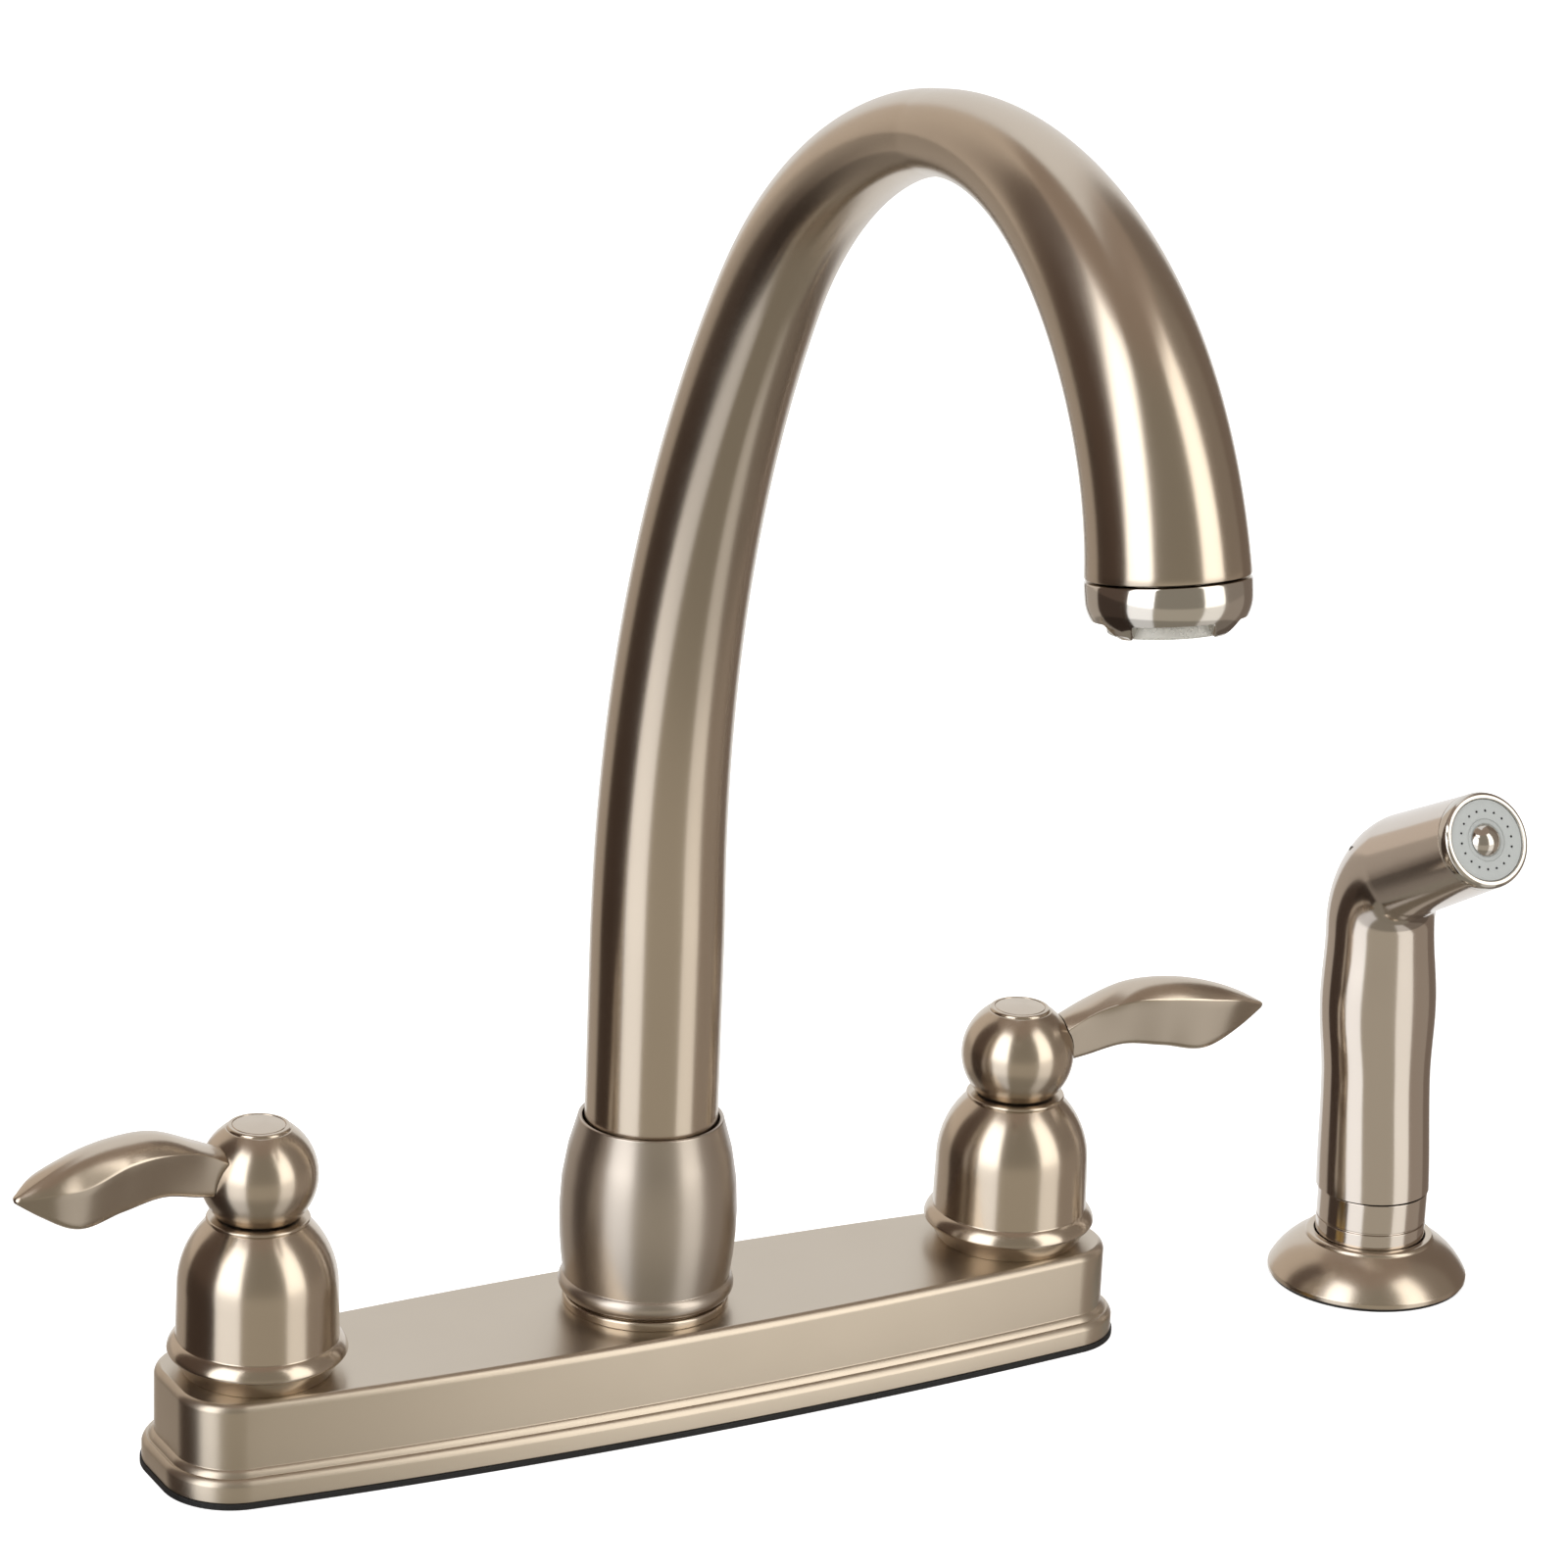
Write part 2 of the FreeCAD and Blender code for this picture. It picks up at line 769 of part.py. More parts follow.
cartridge_bore = s.cartridge_radius + s.close_fit
fixed_disc_top = s.valve_seat + s.disc_thickness
moving_disc_bottom = fixed_disc_top + s.disc_gap
moving_disc_top = moving_disc_bottom + s.disc_thickness
cavity_top = fixed_disc_top + s.cavity_height
stem_flange_bottom = moving_disc_top + s.disc_gap
bonnet_top = s.valve_top + s.bonnet_lip


def valve_body(side):
    """Supply thread, wider mounting thread above it, and the barrel that takes the cartridge."""
    x, port_turn, lever_turn = sides[side]
    thread_step = s.supply_thread_length - s.shank_length
    body = turned(side + "_valve_body", [
        (s.inlet_bore, -s.shank_length), (s.shank_radius, -s.shank_length),
        (s.shank_radius, thread_step), (s.mount_thread_radius, thread_step),
        (s.mount_thread_radius, s.shank_top),
        (s.valve_radius, s.shank_top), (s.valve_radius, s.valve_top), (cartridge_bore, s.valve_top),
        (cartridge_bore, s.valve_seat), (s.inlet_bore, s.valve_seat)])
    cross_hole(body, side + "_valve_port", s.duct_bore, s.duct_height, Size(0), s.valve_radius + OVERRUN)
    place(body, x=x, turn=port_turn)


def cartridge(side):
    """Shell of the ceramic cartridge, open below, with a window to the duct."""
    x, port_turn, lever_turn = sides[side]
    stem_bore = s.stem_radius + s.turning_fit
    body = turned(side + "_cartridge", [
        (s.cartridge_cavity, fixed_disc_top), (s.cartridge_radius, fixed_disc_top),
        (s.cartridge_radius, s.valve_top), (stem_bore, s.valve_top),
        (stem_bore, cavity_top), (s.cartridge_cavity, cavity_top)])
    cross_hole(body, side + "_cartridge_window", s.cartridge_window, s.duct_height, Size(0),
               s.cartridge_radius + OVERRUN)
    place(body, x=x, turn=port_turn)


def valve_disc(label, radius, bottom, x, turn):
    """Ceramic disc with two ports; the moving one stands a quarter turn off when shut."""
    body = new_body(label)
    ports = [Circle(s.disc_port, -s.disc_port_offset, 0), Circle(s.disc_port, s.disc_port_offset, 0)]
    sketch = outline(body, label + "_outline", "XY_Plane", Circle(radius), *ports, lift=bottom)
    pad(body, label + "_pad", sketch, s.disc_thickness)
    place(body, x=x, turn=turn)


def stem(side):
    """Spindle: flange on the moving disc, round neck, and the grip of the handle on top."""
    x, port_turn, lever_turn = sides[side]
    hole = s.screw_radius + s.close_fit
    hole_bottom = s.spindle_top - s.stem_screw_depth
    flange_top_z = stem_flange_bottom + s.stem_flange_height
    body = turned(side + "_stem", [
        (0, stem_flange_bottom), (s.stem_flange, stem_flange_bottom), (s.stem_flange, flange_top_z),
        (s.stem_radius, flange_top_z), (s.stem_radius, bonnet_top), (s.spindle_radius, bonnet_top),
        (s.spindle_radius, s.spindle_top), (hole, s.spindle_top), (hole, hole_bottom), (0, hole_bottom)])
    place(body, x=x)


def bonnet_nut(side):
    """Nut on the valve body whose lip holds the cartridge down."""
    x, port_turn, lever_turn = sides[side]
    height = bonnet_top - s.bonnet_bottom
    stem_hole = s.stem_radius + s.loose_fit
    body = hex_nut(side + "_bonnet_nut", s.bonnet_flats, stem_hole, s.bonnet_bottom, height)
    thread = outline(body, side + "_bonnet_thread", "XY_Plane",
                     Circle(s.valve_radius + s.close_fit), lift=s.bonnet_bottom)
    cut(body, side + "_bonnet_bore", thread, s.valve_top - s.bonnet_bottom)
    place(body, x=x)


def bell(side):
    """Escutcheon: foot, round bead, nearly straight skirt and a shoulder drawn in to a neck."""
    x, port_turn, lever_turn = sides[side]
    foot = s.plate_top
    bead_z = foot + s.bell_bead_height
    bead_low, bead_high = bead_z - s.bell_bead_radius, bead_z + s.bell_bead_radius
    shoulder = foot + s.bell_skirt_top
    top = foot + s.bell_height
    dome_centre = s.bell_waist_radius - s.bell_dome_radius
    neck_radius = dome_centre + leg(s.bell_dome_radius, top - shoulder)
    inner_dome = s.bell_dome_radius - s.bell_wall
    ceiling = top - s.bell_wall
    ceiling_radius = dome_centre + leg(inner_dome, ceiling - shoulder)
    inner = s.bell_waist_radius - s.bell_wall
    bore = s.valve_radius + s.close_fit
    floor = foot + s.bell_floor
    body = turned(side + "_bell", [
        (bore, foot), (s.bell_foot_radius, foot), (s.bell_foot_radius, bead_low), Bow(s.bell_bead_radius),
        (s.bell_foot_radius + s.bell_bead_radius, bead_z), Bow(s.bell_bead_radius),
        (s.bell_foot_radius, bead_high), (s.bell_skirt_radius, bead_high),
        (s.bell_waist_radius, shoulder), Bow(s.bell_dome_radius),
        (neck_radius, top), (s.bell_eye, top), (s.bell_eye, ceiling),
        (ceiling_radius, ceiling), Bow(inner_dome, hollow=True),
        (inner, shoulder), (inner, floor), (bore, floor)])
    place(body, x=x)


# ---------------------------------------------------------------------------------------------
# Handles, two alike, set as mirror images
# ---------------------------------------------------------------------------------------------

bell_top = s.plate_top + s.bell_height
ball_bottom = bell_top + s.ball_gap
ball_centre = ball_bottom + s.ball_drop
ball_top = ball_centre + s.ball_rise
web_bottom = ball_bottom + s.spindle_grip + s.spindle_end_gap
web_top = web_bottom + s.screw_web
cap_pocket = ball_top - s.cap_plug_depth


def handle_hub(side):
    """Ball with flats: socket for the spindle, web for the screw, pocket for the cap."""
    x, port_turn, lever_turn = sides[side]
    bottom_radius = leg(s.ball_radius, s.ball_drop)
    top_radius = leg(s.ball_radius, s.ball_rise)
    socket = s.spindle_radius + s.close_fit
    screw_hole = s.screw_radius + s.loose_fit
    head_bore = s.cap_plug_radius + s.close_fit
    body = turned(side + "_handle_hub", [
        (socket, ball_bottom), (bottom_radius, ball_bottom), Bow(s.ball_radius),
        (s.ball_radius, ball_centre), Bow(s.ball_radius),
        (top_radius, ball_top), (head_bore, ball_top), (head_bore, web_top),
        (screw_hole, web_top), (screw_hole, web_bottom), (socket, web_bottom)])
    pin_start = s.ball_radius - s.lever_pin_length
    cross_hole(body, side + "_pin_hole", s.lever_pin_radius + s.close_fit,
               ball_centre + s.lever_pin_height, pin_start, s.lever_pin_length)
    place(body, x=x, turn=lever_turn)


def lever_section(body, side, station):
    """Section of the lever: crown arched between two creases, flat cheeks, narrow keel."""
    value = {what: getattr(s, "lever_%s_%s" % (station, what)) for what in LEVER_VALUES}
    half, keel_half = value["half_width"], value["keel_half_width"]
    crown, near, far = value["crown"], value["near_crease"], value["far_crease"]
    return outline(body, "%s_lever_%s" % (side, station), "YZ_Plane", [
        (-keel_half, value["keel"]), (keel_half, value["keel"]),
        (half, far), Bow(arc_through(half, crown - far)),
        (0, crown), Bow(arc_through(half, crown - near)),
        (-half, near)], lift=value["reach"])


def lever(side):
    """Leaf-shaped lever, hollowed at its root to sit on the ball, with a pin into it."""
    x, port_turn, lever_turn = sides[side]
    body = new_body(side + "_lever")
    sections = [lever_section(body, side, station) for station in LEVER]
    loft(body, side + "_lever_leaf", sections)
    seat_radius = s.ball_radius + s.lever_joint
    seat = outline(body, side + "_lever_seat_profile", "XZ_Plane", [
        (0, ball_centre - seat_radius), Bow(seat_radius),
        (seat_radius, ball_centre), Bow(seat_radius),
        (0, ball_centre + seat_radius)])
    revolve(body, side + "_lever_seat", seat, "PartDesign::Groove")
    pin_start = s.ball_radius - s.lever_pin_length + s.seat_gap
    pin = outline(body, side + "_lever_pin_circle", "YZ_Plane",
                  Circle(s.lever_pin_radius, 0, ball_centre + s.lever_pin_height), lift=pin_start)
    pad(body, side + "_lever_pin", pin, s.lever_pin_length)
    place(body, x=x, turn=lever_turn)


def index_cap(side):
    """Button that closes the screw hole."""
    x, port_turn, lever_turn = sides[side]
    top = ball_top + s.cap_height
    body = turned(side + "_index_cap", [
        (0, cap_pocket), (s.cap_plug_radius, cap_pocket), (s.cap_plug_radius, ball_top),
        (s.cap_radius, ball_top), (s.cap_radius, top - s.cap_round), Bow(s.cap_round),
        (s.cap_radius - s.cap_round, top), (0, top)])
    place(body, x=x, turn=lever_turn)


def handle_screw(side):
    """Screw through the web of the ball into the spindle."""
    x, port_turn, lever_turn = sides[side]
    end = s.spindle_top - s.stem_screw_depth + s.screw_end_gap
    body = turned(side + "_handle_screw", [
        (0, end), (s.screw_radius, end), (s.screw_radius, web_top), (s.screw_head_radius, web_top),
        (s.screw_head_radius, web_top + s.screw_head_height), (0, web_top + s.screw_head_height)])
    place(body, x=x)


# ---------------------------------------------------------------------------------------------
# Foot of the spout
# ---------------------------------------------------------------------------------------------

ring_top = s.plate_top + s.ring_height
barrel_bottom = ring_top + s.ring_groove_height
barrel_bore = s.spout_radius + s.barrel_bore_gap
hub_flange_top = s.plate_top + s.hub_flange_height
glide_top = hub_flange_top + s.glide_height
bushing_bore = s.hub_radius + s.turning_fit
bushing_radius = s.hub_radius + s.bushing_wall
socket_radius = bushing_radius + s.close_fit


def spout_base_ring():
    """Low ring on the plate with a step that carries the barrel and leaves a dark groove."""
    bore = s.hub_flange_radius + s.close_fit
    turned("spout_base_ring", [
        (bore, s.plate_top), (s.ring_radius, s.plate_top), (s.ring_radius, ring_top - s.ring_round),
        Bow(s.ring_round), (s.ring_radius - s.ring_round, ring_top), (s.ring_groove_radius, ring_top),
        (s.ring_groove_radius, barrel_bottom), (bore, barrel_bottom)])


def spout_collar():
    """Barrel: bead at the foot, belly in the middle, drawn in at the rim."""
    bead_z = barrel_bottom + s.barrel_bead_height / 2
    bead_top = barrel_bottom + s.barrel_bead_height
    belly_z = s.plate_top + s.barrel_belly_height
    top = s.plate_top + s.barrel_height
    bead = arc_through(s.barrel_bead_height / 2, s.barrel_bead_radius - s.barrel_foot_radius)
    lower = arc_through(belly_z - bead_top, s.barrel_belly_radius - s.barrel_foot_radius)
    upper = arc_through(top - belly_z, s.barrel_belly_radius - s.barrel_rim_radius)
    lip = (s.barrel_rim_radius - barrel_bore) / 2
    turned("spout_collar", [
        (barrel_bore, barrel_bottom), (s.barrel_foot_radius, barrel_bottom), Bow(bead),
        (s.barrel_bead_radius, bead_z), Bow(bead), (s.barrel_foot_radius, bead_top), Bow(lower),
        (s.barrel_belly_radius, belly_z), Bow(upper), (s.barrel_rim_radius, top), Bow(lip),
        (s.barrel_rim_radius - lip, top + lip), (barrel_bore, top + lip / 2)])


def spout_hub():
    """Brass post that carries the spout, with grooves for two O-rings and a clip."""
    oring_groove = s.hub_radius - 2 * s.oring_section
    groove_half = s.oring_section + s.groove_clearance
    clip_bottom = s.bushing_top + s.seat_gap
    clip_groove_top = clip_bottom + s.clip_thickness + s.groove_clearance
    clip_groove = s.hub_radius - s.clip_depth
    body = turned("spout_hub", [
        (s.hub_bore, s.boss_bottom), (s.hub_radius, s.boss_bottom), (s.hub_radius, s.plate_top),
        (s.hub_flange_radius, s.plate_top), (s.hub_flange_radius, hub_flange_top),
        (s.hub_radius, hub_flange_top),
        (s.hub_radius, s.oring_low - groove_half), (oring_groove, s.oring_low - groove_half),
        (oring_groove, s.oring_low + groove_half), (s.hub_radius, s.oring_low + groove_half),
        (s.hub_radius, s.oring_high - groove_half), (oring_groove, s.oring_high - groove_half),
        (oring_groove, s.oring_high + groove_half), (s.hub_radius, s.oring_high + groove_half),
        (s.hub_radius, clip_bottom), (clip_groove, clip_bottom),
        (clip_groove, clip_groove_top), (s.hub_radius, clip_groove_top),
        (s.hub_radius, s.hub_top), (s.hub_upper_bore, s.hub_top),
        (s.hub_upper_bore, s.hub_shoulder), (s.hub_bore, s.hub_shoulder)])
    reach = s.hub_radius + OVERRUN
    cross_hole(body, "hub_ports", s.duct_bore, s.duct_height, -reach, 2 * reach)


def hub_o_rings():
    """Two O-rings in the hub's grooves."""
    middle = s.hub_radius - s.oring_section
    turned("hub_o_rings", Circle(s.oring_section, middle, s.oring_low),
           Circle(s.oring_section, middle, s.oring_high))


def swivel_bearing():
    """Glide washer under the spout, bushing inside it and the clip that keeps it down."""
    sleeve("glide_washer", bushing_bore, s.spout_radius, hub_flange_top, glide_top)
    sleeve("spout_bushing", bushing_bore, bushing_radius, s.bushing_bottom, s.bushing_top)
    clip_bottom = s.bushing_top + s.seat_gap
    sleeve("spout_clip", s.hub_radius - s.clip_depth + s.close_fit, s.hub_radius + s.clip_reach,
           clip_bottom, clip_bottom + s.clip_thickness)


# ---------------------------------------------------------------------------------------------
# Gooseneck
# ---------------------------------------------------------------------------------------------

first_heading = s.first_bend_angle
second_heading = first_heading + s.second_bend_angle
tip_heading = second_heading + s.third_bend_angle
DEGREE = math.pi / 180

first_end_y = -s.first_bend_radius * (1 - cosine(first_heading))
first_end_z = s.spout_straight + s.first_bend_radius * sine(first_heading)
second_end_y = first_end_y - s.second_bend_radius * (cosine(first_heading) - cosine(second_heading))
second_end_z = first_end_z + s.second_bend_radius * (sine(second_heading) - sine(first_heading))


def spout_point(heading):
    """Where the spout's middle line is when it has turned by this heading."""
    if number(heading) <= number(first_heading):
        return (-s.first_bend_radius * (1 - cosine(heading)),
                s.spout_straight + s.first_bend_radius * sine(heading))
    if number(heading) <= number(second_heading):
        return (first_end_y - s.second_bend_radius * (cosine(first_heading) - cosine(heading)),
                first_end_z + s.second_bend_radius * (sine(heading) - sine(first_heading)))
    return (second_end_y - s.third_bend_radius * (cosine(second_heading) - cosine(heading)),
            second_end_z + s.third_bend_radius * (sine(heading) - sine(second_heading)))


def spout_length(heading):
    """Length of the middle line from the end of the straight foot to this heading."""
    first = s.first_bend_radius * first_heading * DEGREE
    second = s.second_bend_radius * s.second_bend_angle * DEGREE
    if number(heading) <= number(first_heading):
        return s.first_bend_radius * heading * DEGREE
    if number(heading) <= number(second_heading):
        return first + s.second_bend_radius * (heading - first_heading) * DEGREE
    return first + second + s.third_bend_radius * (heading - second_heading) * DEGREE


def spout_half_height(heading):
    """Slow taper up to the neck near the top, then a flare to the tip."""
    neck = spout_length(s.neck_angle)
    here = spout_length(heading)
    if number(heading) <= number(s.neck_angle):
        share = (here + s.taper_start) / (neck + s.taper_start)
        power = Size(share.value ** s.taper_power.value, "pow(%s; %s)" % (share.text, s.taper_power.text))
        return s.spout_radius - (s.spout_radius - s.neck_radius) * power
    share = (here - neck) / (spout_length(tip_heading) - neck)
    swell = share - s.flare_lag * sine(360 * share) * (1 - share)
    return s.neck_radius + (s.tip_radius - s.neck_radius) * swell


FIRST_STEPS, SECOND_STEPS, THIRD_STEPS = 6, 3, 7
STRAIGHT_STEPS = 2
PASSAGE_EVERY = 2  # the passage has a section at every second heading
section_step = spout_length(first_heading) / FIRST_STEPS
loft_bottom = s.spout_straight - section_step * STRAIGHT_STEPS


def foot_sections(body, name, radius, steps):
    """Round sections up the last of the straight foot, as far apart as those round the bend."""
    rise = section_step * STRAIGHT_STEPS
    return [outline(body, "%s_foot_%d" % (name, step), "XY_Plane", Circle(radius),
                    lift=loft_bottom + rise * step / steps) for step in range(steps)]


def bend_sections(body, name, inset, every=1):
    """Oval sections round the bends, drawn in by the inset at each heading."""
    headings = [first_heading * step / FIRST_STEPS for step in range(FIRST_STEPS + 1)]
    headings += [first_heading + s.second_bend_angle * step / SECOND_STEPS
                 for step in range(1, SECOND_STEPS + 1)]
    headings += [second_heading + s.third_bend_angle * step / THIRD_STEPS
                 for step in range(1, THIRD_STEPS + 1)]
    sections = []
    for step, heading in enumerate(headings[::every]):
        y, z = spout_point(heading)
        half_height = spout_half_height(heading) - inset(heading)
        half_width = half_height + s.neck_oval * sine(heading) * sine(heading)
        sections.append(oval(body, "%s_bend_%d" % (name, step), half_width, half_height, y, z, heading))
    return sections


def no_inset(heading):
    return Size(0)


def passage_inset(heading):
    """Wall of the tube, thicker towards the tip, where the aerator's socket needs it."""
    if number(heading) <= number(second_heading):
        return s.spout_wall
    share = (heading - second_heading) / s.third_bend_angle
    return s.spout_wall + (s.tip_radius - s.spout_wall - s.passage_end_radius) * share


def spout_tube():
    """Tapered gooseneck, hollow, with a socket for the bearing and one for the aerator."""
    body = new_body("spout_tube")
    foot_height = loft_bottom - s.spout_bottom
    foot = outline(body, "foot_circle", "XY_Plane", Circle(s.spout_radius), lift=s.spout_bottom)
    pad(body, "straight_foot", foot, foot_height)
    outside = foot_sections(body, "outer", s.spout_radius, STRAIGHT_STEPS)
    loft(body, "gooseneck", outside + bend_sections(body, "outer", no_inset))
    passage_radius = s.spout_radius - s.spout_wall
    bore = outline(body, "foot_bore_circle", "XY_Plane", Circle(passage_radius), lift=s.spout_bottom)
    cut(body, "foot_bore", bore, foot_height)
    inside = foot_sections(body, "inner", passage_radius, STRAIGHT_STEPS // PASSAGE_EVERY)
    loft(body, "water_passage", inside + bend_sections(body, "inner", passage_inset, PASSAGE_EVERY),
         "PartDesign::SubtractiveLoft")
    socket = outline(body, "socket_circle", "XY_Plane", Circle(socket_radius), lift=s.spout_bottom)
    cut(body, "bearing_socket", socket, s.spout_socket_depth)
    tip_y, tip_z = spout_point(tip_heading)
    back = s.tip_socket_depth
    tip = oval(body, "tip_socket_circle", s.tip_socket_radius, s.tip_socket_radius,
               tip_y + back * sine(tip_heading), tip_z - back * cosine(tip_heading), tip_heading)
    cut(body, "tip_socket", tip, back + OVERRUN)


# ---------------------------------------------------------------------------------------------
# Aerator, modelled along +Z from the joint line and then set on the tip
# ---------------------------------------------------------------------------------------------

def at_tip(body):
    y, z = spout_point(tip_heading)
    return place(body, y=y, z=z, axis=(1, 0, 0), turn=tip_heading)


def aerator():
    """Polished ring with wrench notches, its insert and the seal above them."""
    joint, end = s.aerator_joint, s.aerator_length
    thread = s.tip_socket_radius - s.close_fit
    side = joint + s.aerator_side
    curve = arc_through(end - side, s.aerator_radius - s.aerator_end_radius)
    mouth = s.aerator_bore + s.insert_wall
    ring = turned("aerator_housing", [
        (s.aerator_bore, -s.aerator_thread_length), (thread, -s.aerator_thread_length), (thread, joint),
        (s.aerator_radius, joint), (s.aerator_radius, side), Bow(curve),
        (s.aerator_end_radius, end), (mouth, end), (mouth, side), (s.aerator_bore, side)])
    notch = outline(ring, "notch_outline", "YZ_Plane", [
        (-s.notch_half_width, end - s.notch_depth), (s.notch_half_width, end - s.notch_depth),
        (s.notch_half_width, end + OVERRUN), (-s.notch_half_width, end + OVERRUN)], lift=s.washer_bore)
    first_notch = cut(ring, "notch", notch, s.aerator_radius)
    polar_pattern(ring, "notches", first_notch, s.notch_count)
    at_tip(ring)
    insert_radius = mouth - s.close_fit
    insert_back = side + s.insert_seat
    hollow = end - s.insert_hollow
    insert = turned("aerator_insert", [
        (0, insert_back), (insert_radius, insert_back), (insert_radius, end - s.insert_edge),
        (insert_radius - s.insert_bevel, end), (s.washer_bore, end), (s.washer_bore, hollow),
        (0, hollow)])
    at_tip(insert)
    washer_bottom = -s.tip_socket_depth
    at_tip(sleeve("aerator_washer", s.washer_bore, thread, washer_bottom, -s.aerator_thread_length))


# ---------------------------------------------------------------------------------------------
# Diverter and spray outlet, inside and below the hub
# ---------------------------------------------------------------------------------------------

def spray_outlet():
    """Nipple below the hub: spigot, hexagon, shoulder and the tube that takes the spray hose."""
    hex_bottom = s.boss_bottom - s.outlet_hex_height
    shoulder_z = s.outlet_thread_length - s.outlet_drop
    body = turned("spray_outlet", [
        (s.outlet_bore, -s.outlet_drop), (s.outlet_radius, -s.outlet_drop),
        (s.outlet_radius, shoulder_z), (s.outlet_shoulder, shoulder_z),
        (s.outlet_shoulder, s.boss_bottom), (s.hub_bore - s.close_fit, s.boss_bottom),
        (s.hub_bore - s.close_fit, s.boss_bottom + s.outlet_spigot),
        (s.outlet_bore, s.boss_bottom + s.outlet_spigot)])
    hexagon_ring = outline(body, "outlet_hexagon", "XY_Plane",
                           hexagon(s.outlet_flats), Circle(s.outlet_bore), lift=hex_bottom)
    pad(body, "outlet_nut", hexagon_ring, s.outlet_hex_height)


def spring(label, radius, wire, bottom, height):
    """Coil of round wire about the Z axis, measured to the outside of its end turns."""
    body = new_body(label)
    sketch = outline(body, label + "_wire", "XZ_Plane", Circle(wire, radius, bottom + wire))
    coil = body.newObject("PartDesign::AdditiveHelix", label + "_coil")
    coil.Profile = sketch
    coil.ReferenceAxis = (sketch, ["V_Axis"])
    coil.Mode = "height-turns-angle"
    coil.Height = number(height - 2 * wire)
    bind(coil, "Height", height - 2 * wire)
    coil.Turns = SPRING_TURNS
    return body


def diverter():
    """Guide on the hub's shoulder, and the sprung piston that shuts the spout while spraying."""
    guide = new_body("diverter_body")
    offset = s.diverter_port_offset
    ports = [Circle(s.diverter_port, offset, 0), Circle(s.diverter_port, -offset, 0),
             Circle(s.diverter_port, 0, offset), Circle(s.diverter_port, 0, -offset)]
    sketch = outline(guide, "diverter_outline", "XY_Plane", Circle(s.hub_upper_bore - s.close_fit),
                     Circle(s.diverter_stem_radius + s.turning_fit), *ports, lift=s.hub_shoulder)
    pad(guide, "diverter_guide", sketch, s.diverter_height)
    guide_top = s.hub_shoulder + s.diverter_height
    head = guide_top + s.diverter_spring_height
    tail = s.hub_shoulder - s.diverter_tail
    turned("diverter_piston", [
        (0, tail), (s.diverter_stem_radius, tail), (s.diverter_stem_radius, head),
        (s.diverter_head_radius, head), (s.diverter_head_radius, head + s.diverter_head_height),
        (0, head + s.diverter_head_height)])
    spring("diverter_spring", s.diverter_spring_radius, s.spring_wire, guide_top,
           s.diverter_spring_height)


# ---------------------------------------------------------------------------------------------
# Hand spray and its holder, modelled about their own axis and then set beside the plate
# ---------------------------------------------------------------------------------------------

sprayer_x = half_spacing + s.sprayer_beside


def beside(body):
    return place(body, x=sprayer_x, y=s.sprayer_y)


def spray_holder():
    """Domed flange screwed on a threaded tube, with the gasket and the nut that clamp the deck."""
    base = s.holder_gasket_thickness
    edge_top = base + s.holder_edge
    pocket = s.coupling_radius + s.seat_gap
    pocket_floor = s.coupling_bottom - s.seat_gap
    lip = (s.holder_rim_radius - pocket) / 2
    tube_bore = s.holder_tube_radius + s.close_fit
    beside(turned("spray_holder", [
        (tube_bore, base), (s.holder_radius, base), (s.holder_radius, edge_top),
        Bow(s.holder_dome_radius), (s.holder_rim_radius, s.holder_top - lip), Bow(lip),
        (s.holder_rim_radius - lip, s.holder_top), (pocket, s.holder_top),
        (pocket, pocket_floor), (tube_bore, pocket_floor)]))
    nose_bore = s.nose_radius + s.loose_fit
    thread_step = s.holder_thread_length - s.holder_tube_drop
    beside(turned("holder_tube", [
        (nose_bore, -s.holder_tube_drop), (s.holder_thread_radius, -s.holder_tube_drop),
        (s.holder_thread_radius, thread_step), (s.holder_tube_radius, thread_step),
        (s.holder_tube_radius, pocket_floor), (nose_bore, pocket_floor)]))
    beside(sleeve("holder_gasket", tube_bore, s.holder_radius - s.holder_gasket_inset, Size(0), base))
    nut_top = -s.deck_thickness
    beside(hex_nut("holder_nut", s.holder_nut_flats, tube_bore,
                   nut_top - s.holder_nut_height, s.holder_nut_height))


def spray_coupling():
    """Lower ring of the hand spray: nose in the holder, grooved band, spigot in the grip."""
    groove_low = s.coupling_groove_height
    groove_high = groove_low + s.coupling_groove
    groove_radius = s.coupling_radius - s.coupling_groove
    thread_top = s.nose_bottom + s.hose_thread_depth
    spigot_top = s.coupling_top + s.grip_gap + s.grip_spigot_length
    body = turned("spray_coupling", [
        (s.hose_bore, s.nose_bottom), (s.nose_radius, s.nose_bottom), (s.nose_radius, s.coupling_bottom),
        (s.coupling_radius, s.coupling_bottom),
        (s.coupling_radius, groove_low), (groove_radius, groove_low),
        (groove_radius, groove_high), (s.coupling_radius, groove_high),
        (s.coupling_radius, s.coupling_top), (s.grip_spigot_radius, s.coupling_top),
        (s.grip_spigot_radius, spigot_top), (s.coupling_bore, spigot_top),
        (s.coupling_bore, thread_top), (s.hose_bore, thread_top)])
    beside(body)


